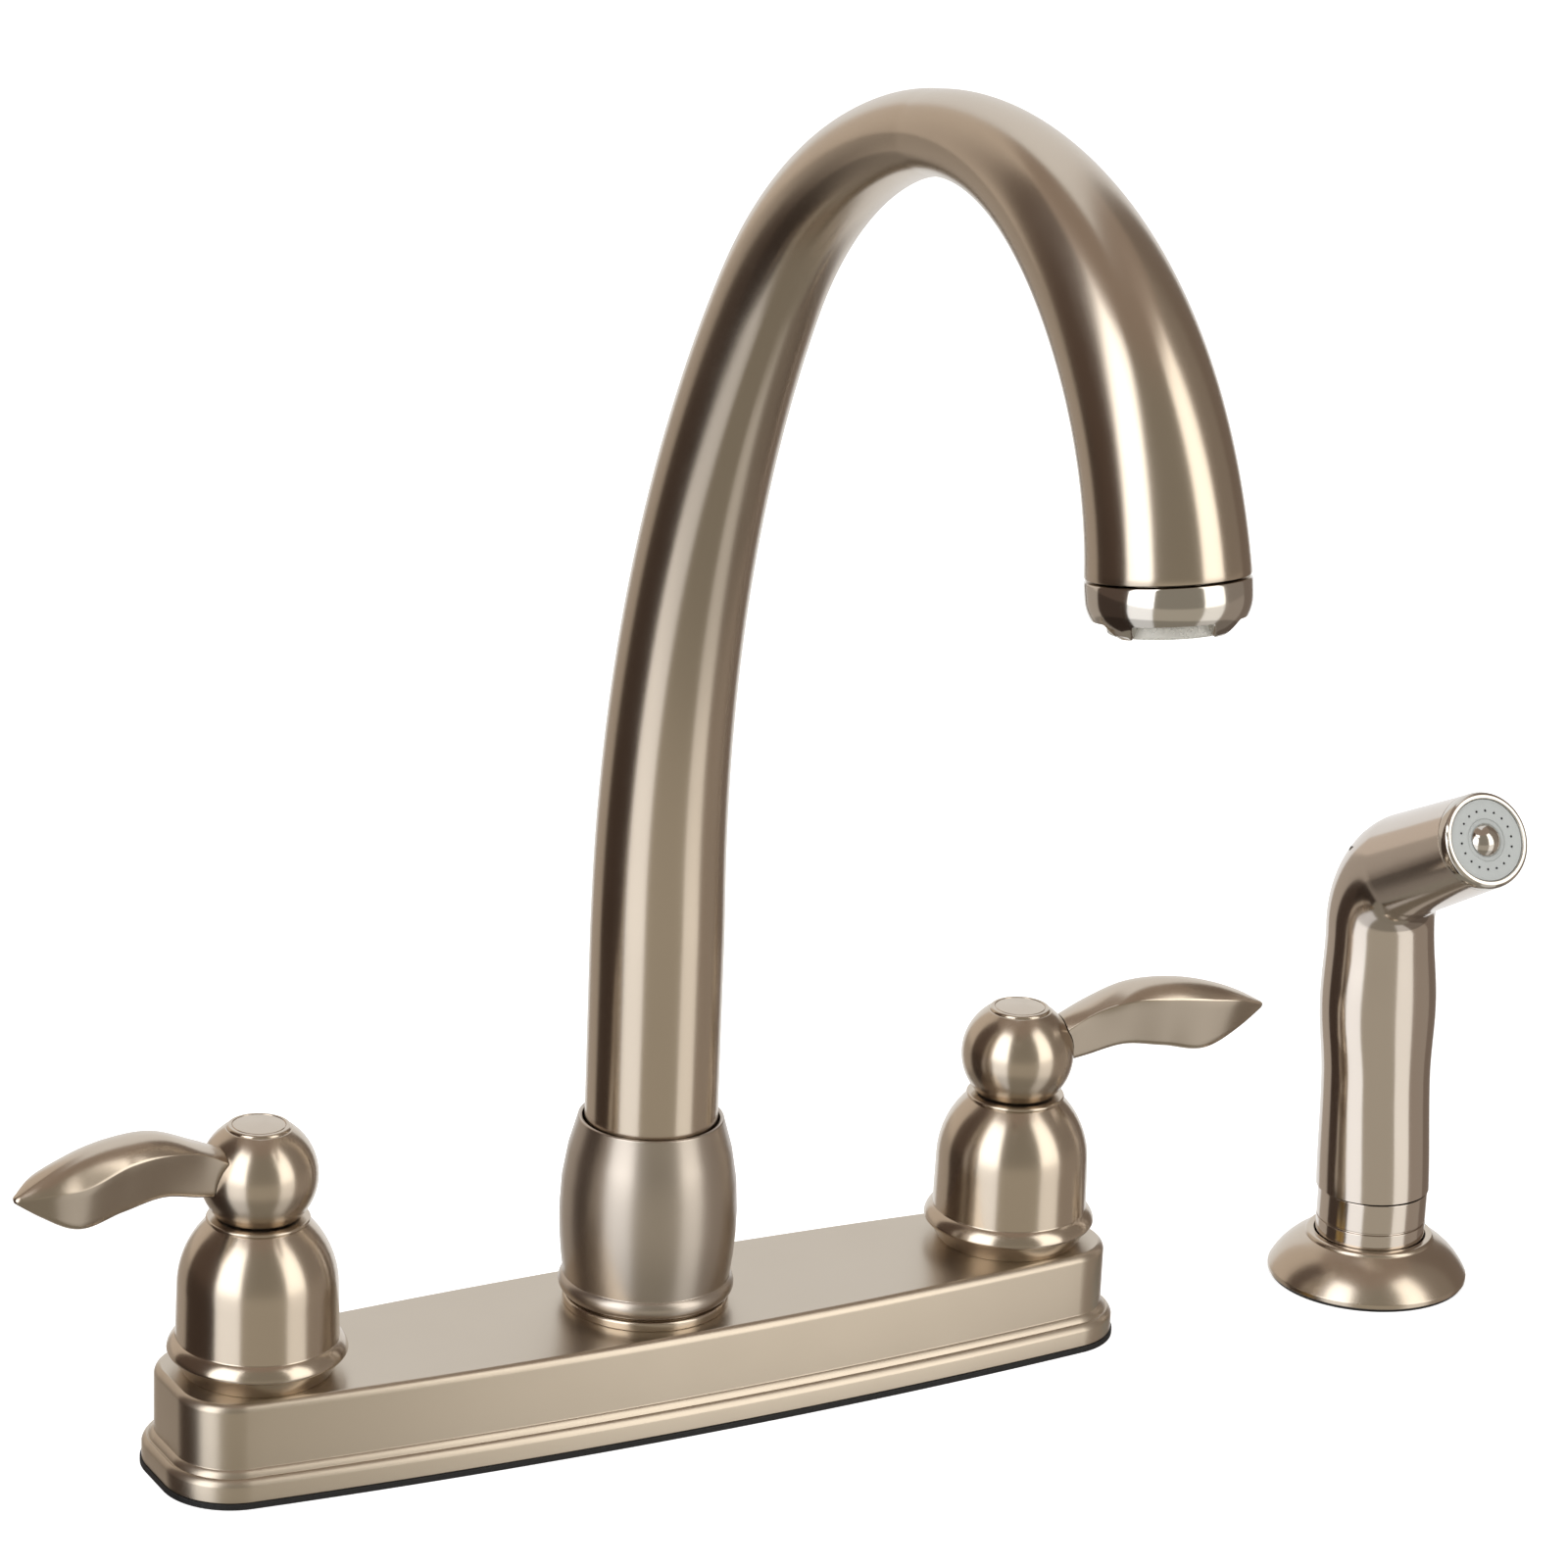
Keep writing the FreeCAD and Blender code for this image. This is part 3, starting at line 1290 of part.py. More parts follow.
# Middle line of the grip and head in the YZ plane: the grip leans back, a bend turns it
# forwards, and the head runs on straight to the face.
lean = -s.grip_lean
grip_rise = s.grip_top_z - s.grip_foot_z
grip_top_y = s.grip_foot_y + grip_rise * sine(s.grip_lean) / cosine(s.grip_lean)
bend_centre_y = grip_top_y - s.head_bend_radius * cosine(s.grip_lean)
bend_centre_z = s.grip_top_z + s.head_bend_radius * sine(s.grip_lean)
head_heading = 90 - s.head_rise
head_start_y = bend_centre_y + s.head_bend_radius * cosine(head_heading)
head_start_z = bend_centre_z + s.head_bend_radius * sine(head_heading)
face_y = head_start_y - s.head_length * sine(head_heading)
face_z = head_start_z + s.head_length * cosine(head_heading)


def around_bend(radius, angle):
    """Point at a distance from the bend's centre, the angle measured up from level."""
    return (bend_centre_y + radius * cosine(angle), bend_centre_z + radius * sine(angle))


GRIP_STEPS, BEND_STEPS, HEAD_STEPS = 6, 3, 3
WAIST, HIP = 0.42, 0.7


def eased(share, start, end):
    """Smooth change from start to end."""
    return start + (end - start) * (1 - cosine(180 * share)) / 2


def along_grip(share, foot, waist, hip, neck):
    """Half width or half depth of the grip: drawn in at the waist, full at the hip."""
    if share <= WAIST:
        return eased(share / WAIST, foot, waist)
    if share <= HIP:
        return eased((share - WAIST) / (HIP - WAIST), waist, hip)
    return eased((share - HIP) / (1 - HIP), hip, neck)


def grip_section(body, step):
    share = step / GRIP_STEPS
    half_width = along_grip(share, s.grip_foot_half_width, s.grip_waist_half_width,
                            s.grip_hip_half_width, s.grip_neck_half_width)
    half_depth = along_grip(share, s.grip_foot_half_depth, s.grip_waist_half_depth,
                            s.grip_hip_half_depth, s.grip_neck_half_depth)
    y = s.grip_foot_y + (grip_top_y - s.grip_foot_y) * share
    z = s.grip_foot_z + grip_rise * share
    return oval(body, "grip_%d" % step, half_width, half_depth, y, z, lean * min(share * 2, 1))


back_radius = s.head_bend_radius + s.grip_neck_half_depth
pivot_y, pivot_z = around_bend(back_radius - s.pivot_depth, s.pivot_angle)


def spray_body():
    """Grip and head in one, with a slot down the back for the trigger."""
    body = new_body("spray_body")
    round_head = s.head_radius + s.head_flattening
    sections = [grip_section(body, step) for step in range(GRIP_STEPS + 1)]
    for step in range(1, BEND_STEPS + 1):
        share = step / BEND_STEPS
        heading = lean + (head_heading - lean) * share
        y, z = around_bend(s.head_bend_radius, heading)
        half_width = s.grip_neck_half_width + (round_head - s.grip_neck_half_width) * share
        half_depth = s.grip_neck_half_depth + (s.head_radius - s.grip_neck_half_depth) * share
        sections.append(oval(body, "bend_%d" % step, half_width, half_depth, y, z, heading))
    for step in range(1, HEAD_STEPS + 1):
        share = step / HEAD_STEPS
        along = (s.head_length - s.bezel_length) * share
        radius = s.head_radius + (s.head_end_radius - s.head_radius) * share
        sections.append(oval(body, "head_%d" % step, radius + s.head_flattening, radius,
                             head_start_y - along * sine(head_heading),
                             head_start_z + along * cosine(head_heading), head_heading))
    loft(body, "grip_and_head", sections)
    foot = outline(body, "grip_socket_circle", "XY_Plane",
                   Circle(s.grip_spigot_radius + s.close_fit), lift=s.grip_foot_z - OVERRUN)
    cut(body, "grip_socket", foot, OVERRUN + s.grip_spigot_length + s.seat_gap)
    depth = s.bezel_length + s.bezel_thread_length + s.bezel_end_room
    mouth = oval(body, "head_socket_circle", s.bezel_thread_radius + s.close_fit,
                 s.bezel_thread_radius + s.close_fit,
                 face_y + depth * sine(head_heading), face_z - depth * cosine(head_heading), head_heading)
    cut(body, "head_socket", mouth, depth)
    trigger_slot(body)
    cross_hole_at(body, "pivot_hole", s.pivot_radius + s.close_fit, pivot_y, pivot_z,
                  s.pivot_half_length + s.seat_gap)
    bore = outline(body, "plunger_circle", "XZ_Plane",
                   Circle(s.plunger_radius + s.turning_fit, 0, s.plunger_height), lift=-slot_floor)
    cut(body, "plunger_bore", bore, slot_floor - s.plunger_bore_end)
    beside(body)


slot_floor = s.trigger_tip_y - s.trigger_thickness - s.trigger_swing - s.slot_clearance


def cross_hole_at(body, name, radius, y, z, half_length):
    """Round hole along X, as far to each side."""
    sketch = outline(body, name + "_circle", "YZ_Plane", Circle(radius, y, z), lift=-half_length)
    return cut(body, name, sketch, 2 * half_length)


def trigger_slot(body):
    """Slot that the trigger fills, deep enough for its swing."""
    inner = back_radius - s.trigger_thickness - s.pivot_depth
    slit_angle = s.trigger_top_angle + s.slit_angle
    lead_angle = s.trigger_top_angle + s.slot_lead_angle
    half = s.trigger_half_width + s.trigger_gap
    outside = s.trigger_tip_y + s.slot_overrun
    slot_bottom = s.trigger_heel_z - s.trigger_heel_room
    sketch = outline(body, "slot_outline", "YZ_Plane", [
        (slot_floor, slot_bottom), (outside, slot_bottom),
        (outside, s.grip_top_z), around_bend(back_radius + s.slot_overrun, slit_angle),
        around_bend(back_radius, slit_angle), around_bend(inner, lead_angle),
        around_bend(inner - s.slot_relief, s.trigger_top_angle / 2),
        (slot_floor, s.grip_top_z)], lift=-half)
    return cut(body, "trigger_slot", sketch, 2 * half)


trigger_inner_y = s.trigger_tip_y - s.trigger_thickness - s.trigger_taper
trigger_swell_y = trigger_inner_y - s.trigger_swell


def spray_trigger():
    """Thumb lever: follows the back of the head and stands proud at its lower tip."""
    body = new_body("spray_trigger")
    bend_point = around_bend(back_radius, s.trigger_bend_angle)
    inner_top = back_radius - s.pivot_depth - s.pivot_radius - s.trigger_eye_wall
    sketch = outline(body, "trigger_outline", "YZ_Plane", [
        (s.trigger_heel_y, s.trigger_heel_z), (s.trigger_tip_y, s.trigger_tip_z), bend_point,
        Bow(back_radius), around_bend(back_radius, s.trigger_top_angle),
        around_bend(inner_top, s.trigger_top_angle), around_bend(inner_top, s.trigger_top_angle / 2),
        (trigger_swell_y, s.grip_top_z), (trigger_inner_y, s.trigger_heel_z + s.trigger_heel_step)],
        lift=-s.trigger_half_width)
    pad(body, "trigger_blade", sketch, 2 * s.trigger_half_width)
    cross_hole_at(body, "trigger_eye", s.pivot_radius + s.turning_fit, pivot_y, pivot_z,
                  s.trigger_half_width + OVERRUN)
    cross_hole_at(body, "torsion_notch", s.torsion_notch_radius, pivot_y, pivot_z, s.torsion_notch_half)
    beside(body)


def trigger_hardware():
    """Pivot pin, torsion spring round it and the plunger that the trigger pushes."""
    pin = new_body("trigger_pin")
    sketch = outline(pin, "pin_circle", "YZ_Plane", Circle(s.pivot_radius, pivot_y, pivot_z),
                     lift=-s.pivot_half_length)
    pad(pin, "pin", sketch, 2 * s.pivot_half_length)
    beside(pin)
    coil = spring("trigger_spring", s.torsion_radius, s.spring_wire, -s.torsion_half_length,
                  2 * s.torsion_half_length)
    place(coil, x=sprayer_x, y=s.sprayer_y + pivot_y, z=pivot_z, axis=(0, 1, 0), turn=90)
    plunger = new_body("spray_plunger")
    plunger_head_y = trigger_swell_y - s.seat_gap
    tail = outline(plunger, "plunger_outline", "XZ_Plane",
                   Circle(s.plunger_radius, 0, s.plunger_height), lift=-plunger_head_y)
    pad(plunger, "plunger", tail, plunger_head_y - s.plunger_tail_y)
    beside(plunger)


def at_face(body):
    return place(body, x=sprayer_x, y=s.sprayer_y + face_y, z=face_z, axis=(1, 0, 0), turn=head_heading)


def spray_face_parts():
    """Bezel screwed into the head, the disc with the jets and the dome in its middle."""
    seat = -s.bezel_length
    front = Size(0)
    disc_front = -s.face_recess
    disc_back = disc_front - s.face_thickness
    disc_bore = s.face_radius + s.close_fit
    step = s.face_radius - s.face_ledge
    bevel = s.bezel_end_radius - s.bezel_bevel
    at_face(turned("spray_bezel", [
        (step, seat - s.bezel_thread_length), (s.bezel_thread_radius, seat - s.bezel_thread_length),
        (s.bezel_thread_radius, seat), (s.head_end_radius, seat), (s.head_end_radius, seat + s.bezel_band),
        (s.bezel_end_radius, front - s.bezel_edge), (bevel, front), (disc_bore + s.bezel_flare, front),
        (disc_bore, disc_front), (disc_bore, disc_back), (step, disc_back)]))
    pin_bore = s.dome_pin_radius + s.close_fit
    at_face(turned("spray_face", box_loop(pin_bore, disc_back, s.face_radius, disc_front)))
    dome = arc_through(s.dome_radius, s.dome_height)
    at_face(turned("spray_dome", [
        (0, disc_back), (s.dome_pin_radius, disc_back), (s.dome_pin_radius, disc_front),
        (s.dome_radius, disc_front), Bow(dome), (0, disc_front + s.dome_height)]))


# ---------------------------------------------------------------------------------------------
# Build
# ---------------------------------------------------------------------------------------------

def shank_fasteners():
    """Washer and nut of each valve shank, under the deck."""
    body = new_body("shank_washers")
    loops = []
    for x in (-half_spacing, half_spacing):
        loops += [Circle(s.washer_radius, x), Circle(s.mount_thread_radius + s.loose_fit, x)]
    bottom = -(s.deck_thickness + s.washer_thickness)
    pad(body, "washer_pad", outline(body, "washer_circles", "XY_Plane", *loops, lift=bottom),
        s.washer_thickness)
    hex_nut("shank_nuts", s.shank_nut_flats, s.mount_thread_radius + s.close_fit,
            bottom - s.shank_nut_height, s.shank_nut_height, (-half_spacing, half_spacing))


deck_plate()
deck_gasket()
waterway()
shank_fasteners()
for side in sides:
    x, port_turn, lever_turn = sides[side]
    valve_body(side)
    cartridge(side)
    valve_disc(side + "_fixed_disc", s.cartridge_radius, s.valve_seat, x, 0)
    valve_disc(side + "_moving_disc", s.moving_disc_radius, moving_disc_bottom, x, 90)
    stem(side)
    bonnet_nut(side)
    bell(side)
    handle_hub(side)
    lever(side)
    index_cap(side)
    handle_screw(side)
spout_base_ring()
spout_collar()
spout_hub()
hub_o_rings()
swivel_bearing()
spout_tube()
aerator()
spray_outlet()
diverter()
spray_holder()
spray_coupling()
spray_body()
spray_trigger()
trigger_hardware()
spray_face_parts()
doc.recompute()

faults = []
for item in doc.Objects:
    if "Invalid" in item.State or "Error" in item.State:
        faults.append("%s: %s" % (item.Label, item.State))
    if item.TypeId in ("PartDesign::Pocket", "PartDesign::Groove", "PartDesign::SubtractiveLoft"):
        if item.Shape.Volume > item.BaseFeature.Shape.Volume - 0.01:
            faults.append("%s cuts nothing" % item.Label)
for body in sub_parts:
    if body.Shape.isNull() or not body.Shape.isValid() or body.Shape.Volume <= 0:
        faults.append("%s: no valid shape" % body.Label)
if faults:
    raise RuntimeError("; ".join(faults))

os.makedirs("parts", exist_ok=True)
for body in sub_parts:
    body.Shape.exportStep("parts/%s.step" % body.Label)
print("%d sub-parts" % len(sub_parts))
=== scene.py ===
# %% [markdown]
# # A kitchen faucet with a side spray
# The faucet is made in satin nickel: two lever handles and a tall swivelling spout on one deck
# plate, and a hand spray in a holder of its own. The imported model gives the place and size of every
# part, and this file gives each part that shows its finished shape and its finish. A plain import
# would do for the shapes, but its meshes are loose triangles, on which polished metal looks broken,
# so what shows is made again here from smooth rings of faces.
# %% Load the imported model
import json
import math
from collections import namedtuple

import bpy
import numpy as np
from mathutils import Matrix, Vector

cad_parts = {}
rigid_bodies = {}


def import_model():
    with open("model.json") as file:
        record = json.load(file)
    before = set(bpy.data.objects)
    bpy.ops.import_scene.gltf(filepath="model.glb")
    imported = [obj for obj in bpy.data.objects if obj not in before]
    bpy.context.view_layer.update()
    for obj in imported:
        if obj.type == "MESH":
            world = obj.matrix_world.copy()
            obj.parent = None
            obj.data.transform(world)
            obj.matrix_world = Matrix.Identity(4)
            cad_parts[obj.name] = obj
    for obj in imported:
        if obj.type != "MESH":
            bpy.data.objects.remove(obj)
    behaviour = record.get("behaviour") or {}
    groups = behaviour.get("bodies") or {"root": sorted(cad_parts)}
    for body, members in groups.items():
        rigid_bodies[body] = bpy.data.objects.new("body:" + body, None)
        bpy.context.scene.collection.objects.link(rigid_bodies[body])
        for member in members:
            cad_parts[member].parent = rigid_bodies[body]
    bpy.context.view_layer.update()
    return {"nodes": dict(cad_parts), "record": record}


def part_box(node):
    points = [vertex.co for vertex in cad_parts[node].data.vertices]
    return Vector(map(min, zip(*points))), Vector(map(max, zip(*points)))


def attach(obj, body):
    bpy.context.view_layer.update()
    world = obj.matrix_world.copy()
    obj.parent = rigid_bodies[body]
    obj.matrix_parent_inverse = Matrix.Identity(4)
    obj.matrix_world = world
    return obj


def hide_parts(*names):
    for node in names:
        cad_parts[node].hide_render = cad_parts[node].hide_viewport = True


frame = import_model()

body_of = {node: body for body, nodes in frame["record"]["behaviour"]["bodies"].items() for node in nodes}
slot_of = {part["node"]: part["material_slot"] for part in frame["record"]["subparts"]}
mm = 0.001

# %% [markdown]
# ## Finishes
# Each finish is a small tree of nodes that starts from what the real surface is. A flat colour
# would look like paint, so every tree also varies the roughness or the height a little, at a scale
# worked out from a real size in millimetres. One helper adds a node with its settings and links.
# %% Helpers for colours and nodes
def linear(hex_colour):
    """sRGB hex colour as linear red, green, blue and alpha."""
    parts = [int(hex_colour[place:place + 2], 16) / 255 for place in (1, 3, 5)]
    return [c / 12.92 if c <= 0.04045 else ((c + 0.055) / 1.055) ** 2.4 for c in parts] + [1.0]


def add_node(tree, kind, settings=None, **inputs):
    """Adds a node; an input given a socket is linked to it, and any other value is set on it."""
    node = tree.nodes.new(kind)
    for name, value in (settings or {}).items():
        setattr(node, name, value)
    for name, value in inputs.items():
        socket = node.inputs[int(name[1:])] if name[0] == "i" and name[1:].isdigit() \
            else node.inputs[name.replace("_", " ")]
        if isinstance(value, bpy.types.NodeSocket):
            tree.links.new(value, socket)
        else:
            socket.default_value = value
    return node


def new_finish(name):
    """Material with an empty tree but for its output."""
    finish = bpy.data.materials.new(name)
    finish.use_nodes = True
    finish.node_tree.nodes.clear()
    return finish, finish.node_tree


def per_mm(size):
    """Noise scale, in cells per metre, for a pattern of that size in millimetres."""
    return 1 / (size * mm)


# %% Metals
def metal(name, colour, roughness, spread, cloud, depth, stretch=0.0, along=None):
    """Metal whose roughness varies in clouds of a size in millimetres; its highlights are drawn
    out by stretch, upwards or along a vector kept on the mesh."""
    finish, tree = new_finish(name)
    place = add_node(tree, "ShaderNodeTexCoord").outputs["Object"]
    clouds = add_node(tree, "ShaderNodeTexNoise", Vector=place, Scale=per_mm(cloud), Detail=3.0)
    rough = add_node(tree, "ShaderNodeMapRange", Value=clouds.outputs[0], From_Min=0.3, From_Max=0.7,
                     To_Min=roughness - spread, To_Max=roughness + spread)
    grain = add_node(tree, "ShaderNodeTexNoise", Vector=place, Scale=per_mm(GRAIN), Detail=1.0)
    bump = add_node(tree, "ShaderNodeBump", Height=grain.outputs[0], Distance=depth * mm, Strength=1.0)
    shader = add_node(tree, "ShaderNodeBsdfPrincipled", Base_Color=linear(colour), Metallic=1.0,
                      Roughness=rough.outputs[0], Normal=bump.outputs[0])
    if stretch:
        shader.inputs["Anisotropic"].default_value = stretch
        if along:
            way = add_node(tree, "ShaderNodeAttribute", {"attribute_name": along}).outputs["Vector"]
        else:
            way = add_node(tree, "ShaderNodeCombineXYZ", X=0.02, Y=0.01, Z=1.0).outputs[0]
        tree.links.new(way, shader.inputs["Tangent"])
    add_node(tree, "ShaderNodeOutputMaterial", Surface=shader.outputs[0])
    return finish


GRAIN = 0.7


def plastic(name, colour, roughness, spread, grain, depth, transmission=0.0):
    """Moulded plastic, rubber or ceramic: a fine grain in its height and its roughness."""
    finish, tree = new_finish(name)
    place = add_node(tree, "ShaderNodeTexCoord").outputs["Object"]
    noise = add_node(tree, "ShaderNodeTexNoise", Vector=place, Scale=per_mm(grain), Detail=3.0)
    rough = add_node(tree, "ShaderNodeMapRange", Value=noise.outputs[0], From_Min=0.3, From_Max=0.7,
                     To_Min=roughness - spread, To_Max=roughness + spread)
    bump = add_node(tree, "ShaderNodeBump", Height=noise.outputs[0], Distance=depth * mm, Strength=1.0)
    shader = add_node(tree, "ShaderNodeBsdfPrincipled", Base_Color=linear(colour),
                      Roughness=rough.outputs[0], Normal=bump.outputs[0])
    shader.inputs["Transmission Weight"].default_value = transmission
    add_node(tree, "ShaderNodeOutputMaterial", Surface=shader.outputs[0])
    return finish


finishes = {
    "satin_nickel": metal("satin_nickel_brushed_round", "#c6baab", 0.23, 0.02, 30, 0.001, 0.6),
    "plate_nickel": metal("satin_nickel_brushed_flat", "#c2b7a8", 0.31, 0.015, 20, 0.004),
    "spray_shell": metal("nickel_plated_plastic", "#d0c7be", 0.15, 0.02, 30, 0.0),
    "chrome": metal("polished_chrome", "#cfcac3", 0.12, 0.02, 20, 0.0),
    "brass": metal("turned_brass", "#b2945a", 0.36, 0.08, 6, 0.004),
    "steel": metal("stainless_steel", "#9a9a98", 0.32, 0.06, 6, 0.003),
    "black_rubber": plastic("black_rubber", "#141416", 0.62, 0.08, 0.8, 0.02),
    "ceramic": plastic("ground_ceramic", "#e4e2da", 0.4, 0.05, 0.5, 0.004),
    "white_acetal": plastic("white_acetal", "#dedcd3", 0.42, 0.05, 1.5, 0.01),
    "clear_insert": plastic("translucent_acetal", "#e6e3da", 0.28, 0.05, 2.0, 0.01, 0.35),
    "grey_plastic": plastic("grey_moulded_plastic", "#b6b9b6", 0.4, 0.06, 1.2, 0.008),
}
tube_finish = metal("satin_nickel_brushed_tube", "#c6baab", 0.23, 0.02, 30, 0.001, 0.6, along="tube_way")
barrel_finish = metal("satin_nickel_barrel", "#bdb4aa", 0.32, 0.015, 30, 0.001, 0.3)
holder_finish = metal("satin_nickel_holder", "#c6baab", 0.24, 0.02, 30, 0.001)
print("%d finishes" % (len(finishes) + 3))

# %% [markdown]
# ## Shapes from rings
# Nearly every part is turned, swept or bent from an outline, so one helper joins rings of points
# into faces. Outlines are written as points with a bow between two of them where the side is an
# arc, the same way a draughtsman would dimension them. Edges of real castings are never knife
# sharp, so each corner of an outline gets a tiny round with a close pair of points that keeps the
# flats beside it looking flat.
# %% Outlines
Bow = namedtuple("Bow", "radius hollow", defaults=[False])
ARC_STEP = math.radians(6)
EDGE_ROUND = 0.22


def arc_between(start, end, bow):
    """Points of the arc after its start, which bulges to the right of the way unless hollow."""
    start, end = np.array(start, float), np.array(end, float)
    chord = end - start
    length = np.hypot(*chord)
    right = np.array([chord[1], -chord[0]]) / length
    height = math.sqrt(max(bow.radius ** 2 - (length / 2) ** 2, 0))
    centre = (start + end) / 2 + right * (height if bow.hollow else -height)
    first = math.atan2(*(start - centre)[::-1])
    sweep = 2 * math.asin(min(1, length / 2 / bow.radius)) * (-1 if bow.hollow else 1)
    steps = max(3, round(abs(sweep) / ARC_STEP))
    angles = [first + sweep * step / steps for step in range(1, steps)]
    return [tuple(centre + bow.radius * np.array([math.cos(a), math.sin(a)])) for a in angles]


def trace(loop):
    """Outline of points and bows as one list of points, and which of them are corners."""
    points, corner = [], []
    for place, item in enumerate(loop):
        if isinstance(item, Bow):
            arc = arc_between(loop[place - 1], loop[(place + 1) % len(loop)], item)
            points += arc
            corner += [False] * len(arc)
        else:
            points.append(tuple(map(float, item)))
            corner.append(True)
    return points, corner


def soften(points, corner, size=EDGE_ROUND, closed=True):
    """Rounds each corner that turns by more than a little."""
    made = []
    count = len(points)
    for place, (point, is_corner) in enumerate(zip(points, corner)):
        here = np.array(point)
        back, ahead = np.array(points[place - 1]) - here, np.array(points[(place + 1) % count]) - here
        far_back, far_ahead = np.hypot(*back), np.hypot(*ahead)
        end = not closed and place in (0, count - 1)
        straight = end or np.dot(back, ahead) / (far_back * far_ahead) < -0.94
        if not is_corner or straight:
            made.append(point)
            continue
        back, ahead = back / far_back, ahead / far_ahead
        reach_back, reach_ahead = min(size, far_back * 0.3), min(size, far_ahead * 0.3)
        made.append(tuple(here + back * reach_back * 1.5))
        for share in (0, 0.25, 0.5, 0.75, 1):
            made.append(tuple(here + back * reach_back * (1 - share) ** 2 + ahead * reach_ahead * share ** 2))
        made.append(tuple(here + ahead * reach_ahead * 1.5))
    return made


# %% Rings to meshes
def mesh_from(name, points, faces):
    """Mesh in metres, smooth but for its real edges."""
    mesh = bpy.data.meshes.new(name)
    mesh.from_pydata([tuple(c * mm for c in point) for point in points], [], faces)
    mesh.validate()
    mesh.shade_smooth()
    mesh.set_sharp_from_angle(angle=math.radians(38))
    return mesh


def join_rings(rings, closed=False, capped=False):
    """Points and faces of a skin over rings of points; a ring of one point closes the skin there."""
    points, places = [], []
    for ring in rings:
        places.append(range(len(points), len(points) + len(ring)))
        points += [tuple(p) for p in ring]
    faces = []
    for low, high in zip(places, places[1:] + (places[:1] if closed else [])):
        count = max(len(low), len(high))
        for k in range(count):
            corners = [low[k % len(low)], low[(k + 1) % len(low)], high[(k + 1) % len(high)],
                       high[k % len(high)]]
            face = list(dict.fromkeys(corners))
            if len(face) > 2:
                faces.append(face)
    if capped:
        faces.append(list(places[0])[::-1])
        faces.append(list(places[-1]))
    return points, faces


ROUND_STEPS = 144


def turned_mesh(name, loop, edge=EDGE_ROUND):
    """Outline of radius and height, in millimetres, turned about the upright axis."""
    points, corner = trace(loop)
    open_ends = points[0][0] == 0 and points[-1][0] == 0
    outline = soften(points, corner, edge, closed=not open_ends)
    rings = []
    for radius, height in outline:
        if radius <= 1e-6:
            rings.append([(0, 0, height)])
            continue
        turn = [2 * math.pi * k / ROUND_STEPS for k in range(ROUND_STEPS)]
        rings.append([(radius * math.cos(a), radius * math.sin(a), height) for a in turn])
    return mesh_from(name, *join_rings(rings, closed=not open_ends))


pieces = []


def dress(name, mesh, node, *more_nodes, place=None):
    """Puts a mesh where it belongs, as the piece that stands for a CAD node."""
    if place is not None:
        mesh.transform(place)
    piece = bpy.data.objects.new(name, mesh)
    bpy.context.scene.collection.objects.link(piece)
    if not mesh.materials:
        mesh.materials.append(finishes[slot_of[node]])
    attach(piece, body_of[node])
    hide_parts(node, *more_nodes)
    pieces.append(piece)
    return piece


def axis_of(node):
    """Matrix that moves the origin to the upright axis of a node."""
    low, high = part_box(node)
    return Matrix.Translation(((low.x + high.x) / 2, (low.y + high.y) / 2, 0))


def low(node):
    """Lowest height of a node in millimetres."""
    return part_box(node)[0].z / mm


def high(node):
    """Highest height of a node in millimetres."""
    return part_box(node)[1].z / mm


def rise_over(run, rise):
    """Radius of an arc that leaves its run square and rises by that much."""
    return (run * run + rise * rise) / (2 * rise)


# %% [markdown]
# ## Deck plate and gasket
# The plate is a die-cast shell. Its long sides are bowed, its corners round, and a flange with two
# sloping steps runs round the foot. It could be extruded in layers, but a moulding that
# follows an outline is simplest as one profile of inset and height carried round that outline.
# Every ring has its points on the same directions, so the faces between two rings stay square.
# %% Outline of the plate
plate_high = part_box("deck_gasket")[1]
half_length, half_depth = plate_high.x / mm, plate_high.y / mm
side_bow = rise_over(half_length, 6.4)
CORNER = 17.0
bow_middle = side_bow - half_depth
corner_x = half_length - CORNER
corner_y = math.sqrt((side_bow - CORNER) ** 2 - corner_x ** 2) - bow_middle
meet = math.atan2(corner_y + bow_middle, corner_x)
CORNER_STEPS, SIDE_STEPS = 28, 60


def plate_ring(inset, height):
    """Points round the plate, anticlockwise, from the middle of its right end."""
    half = [(half_length - inset, 0)]
    for step in range(CORNER_STEPS + 1):
        a = meet * step / CORNER_STEPS
        half.append((corner_x + (CORNER - inset) * math.cos(a), corner_y + (CORNER - inset) * math.sin(a)))
    for step in range(1, SIDE_STEPS):
        a = meet + (math.pi - 2 * meet) * step / SIDE_STEPS
        half.append(((side_bow - inset) * math.cos(a), (side_bow - inset) * math.sin(a) - bow_middle))
    for step in range(CORNER_STEPS + 1):
        a = math.pi - meet + meet * step / CORNER_STEPS
        half.append((-corner_x + (CORNER - inset) * math.cos(a), corner_y + (CORNER - inset) * math.sin(a)))
    return [(x, y, height) for x, y in half] + [(-x, -y, height) for x, y in half]


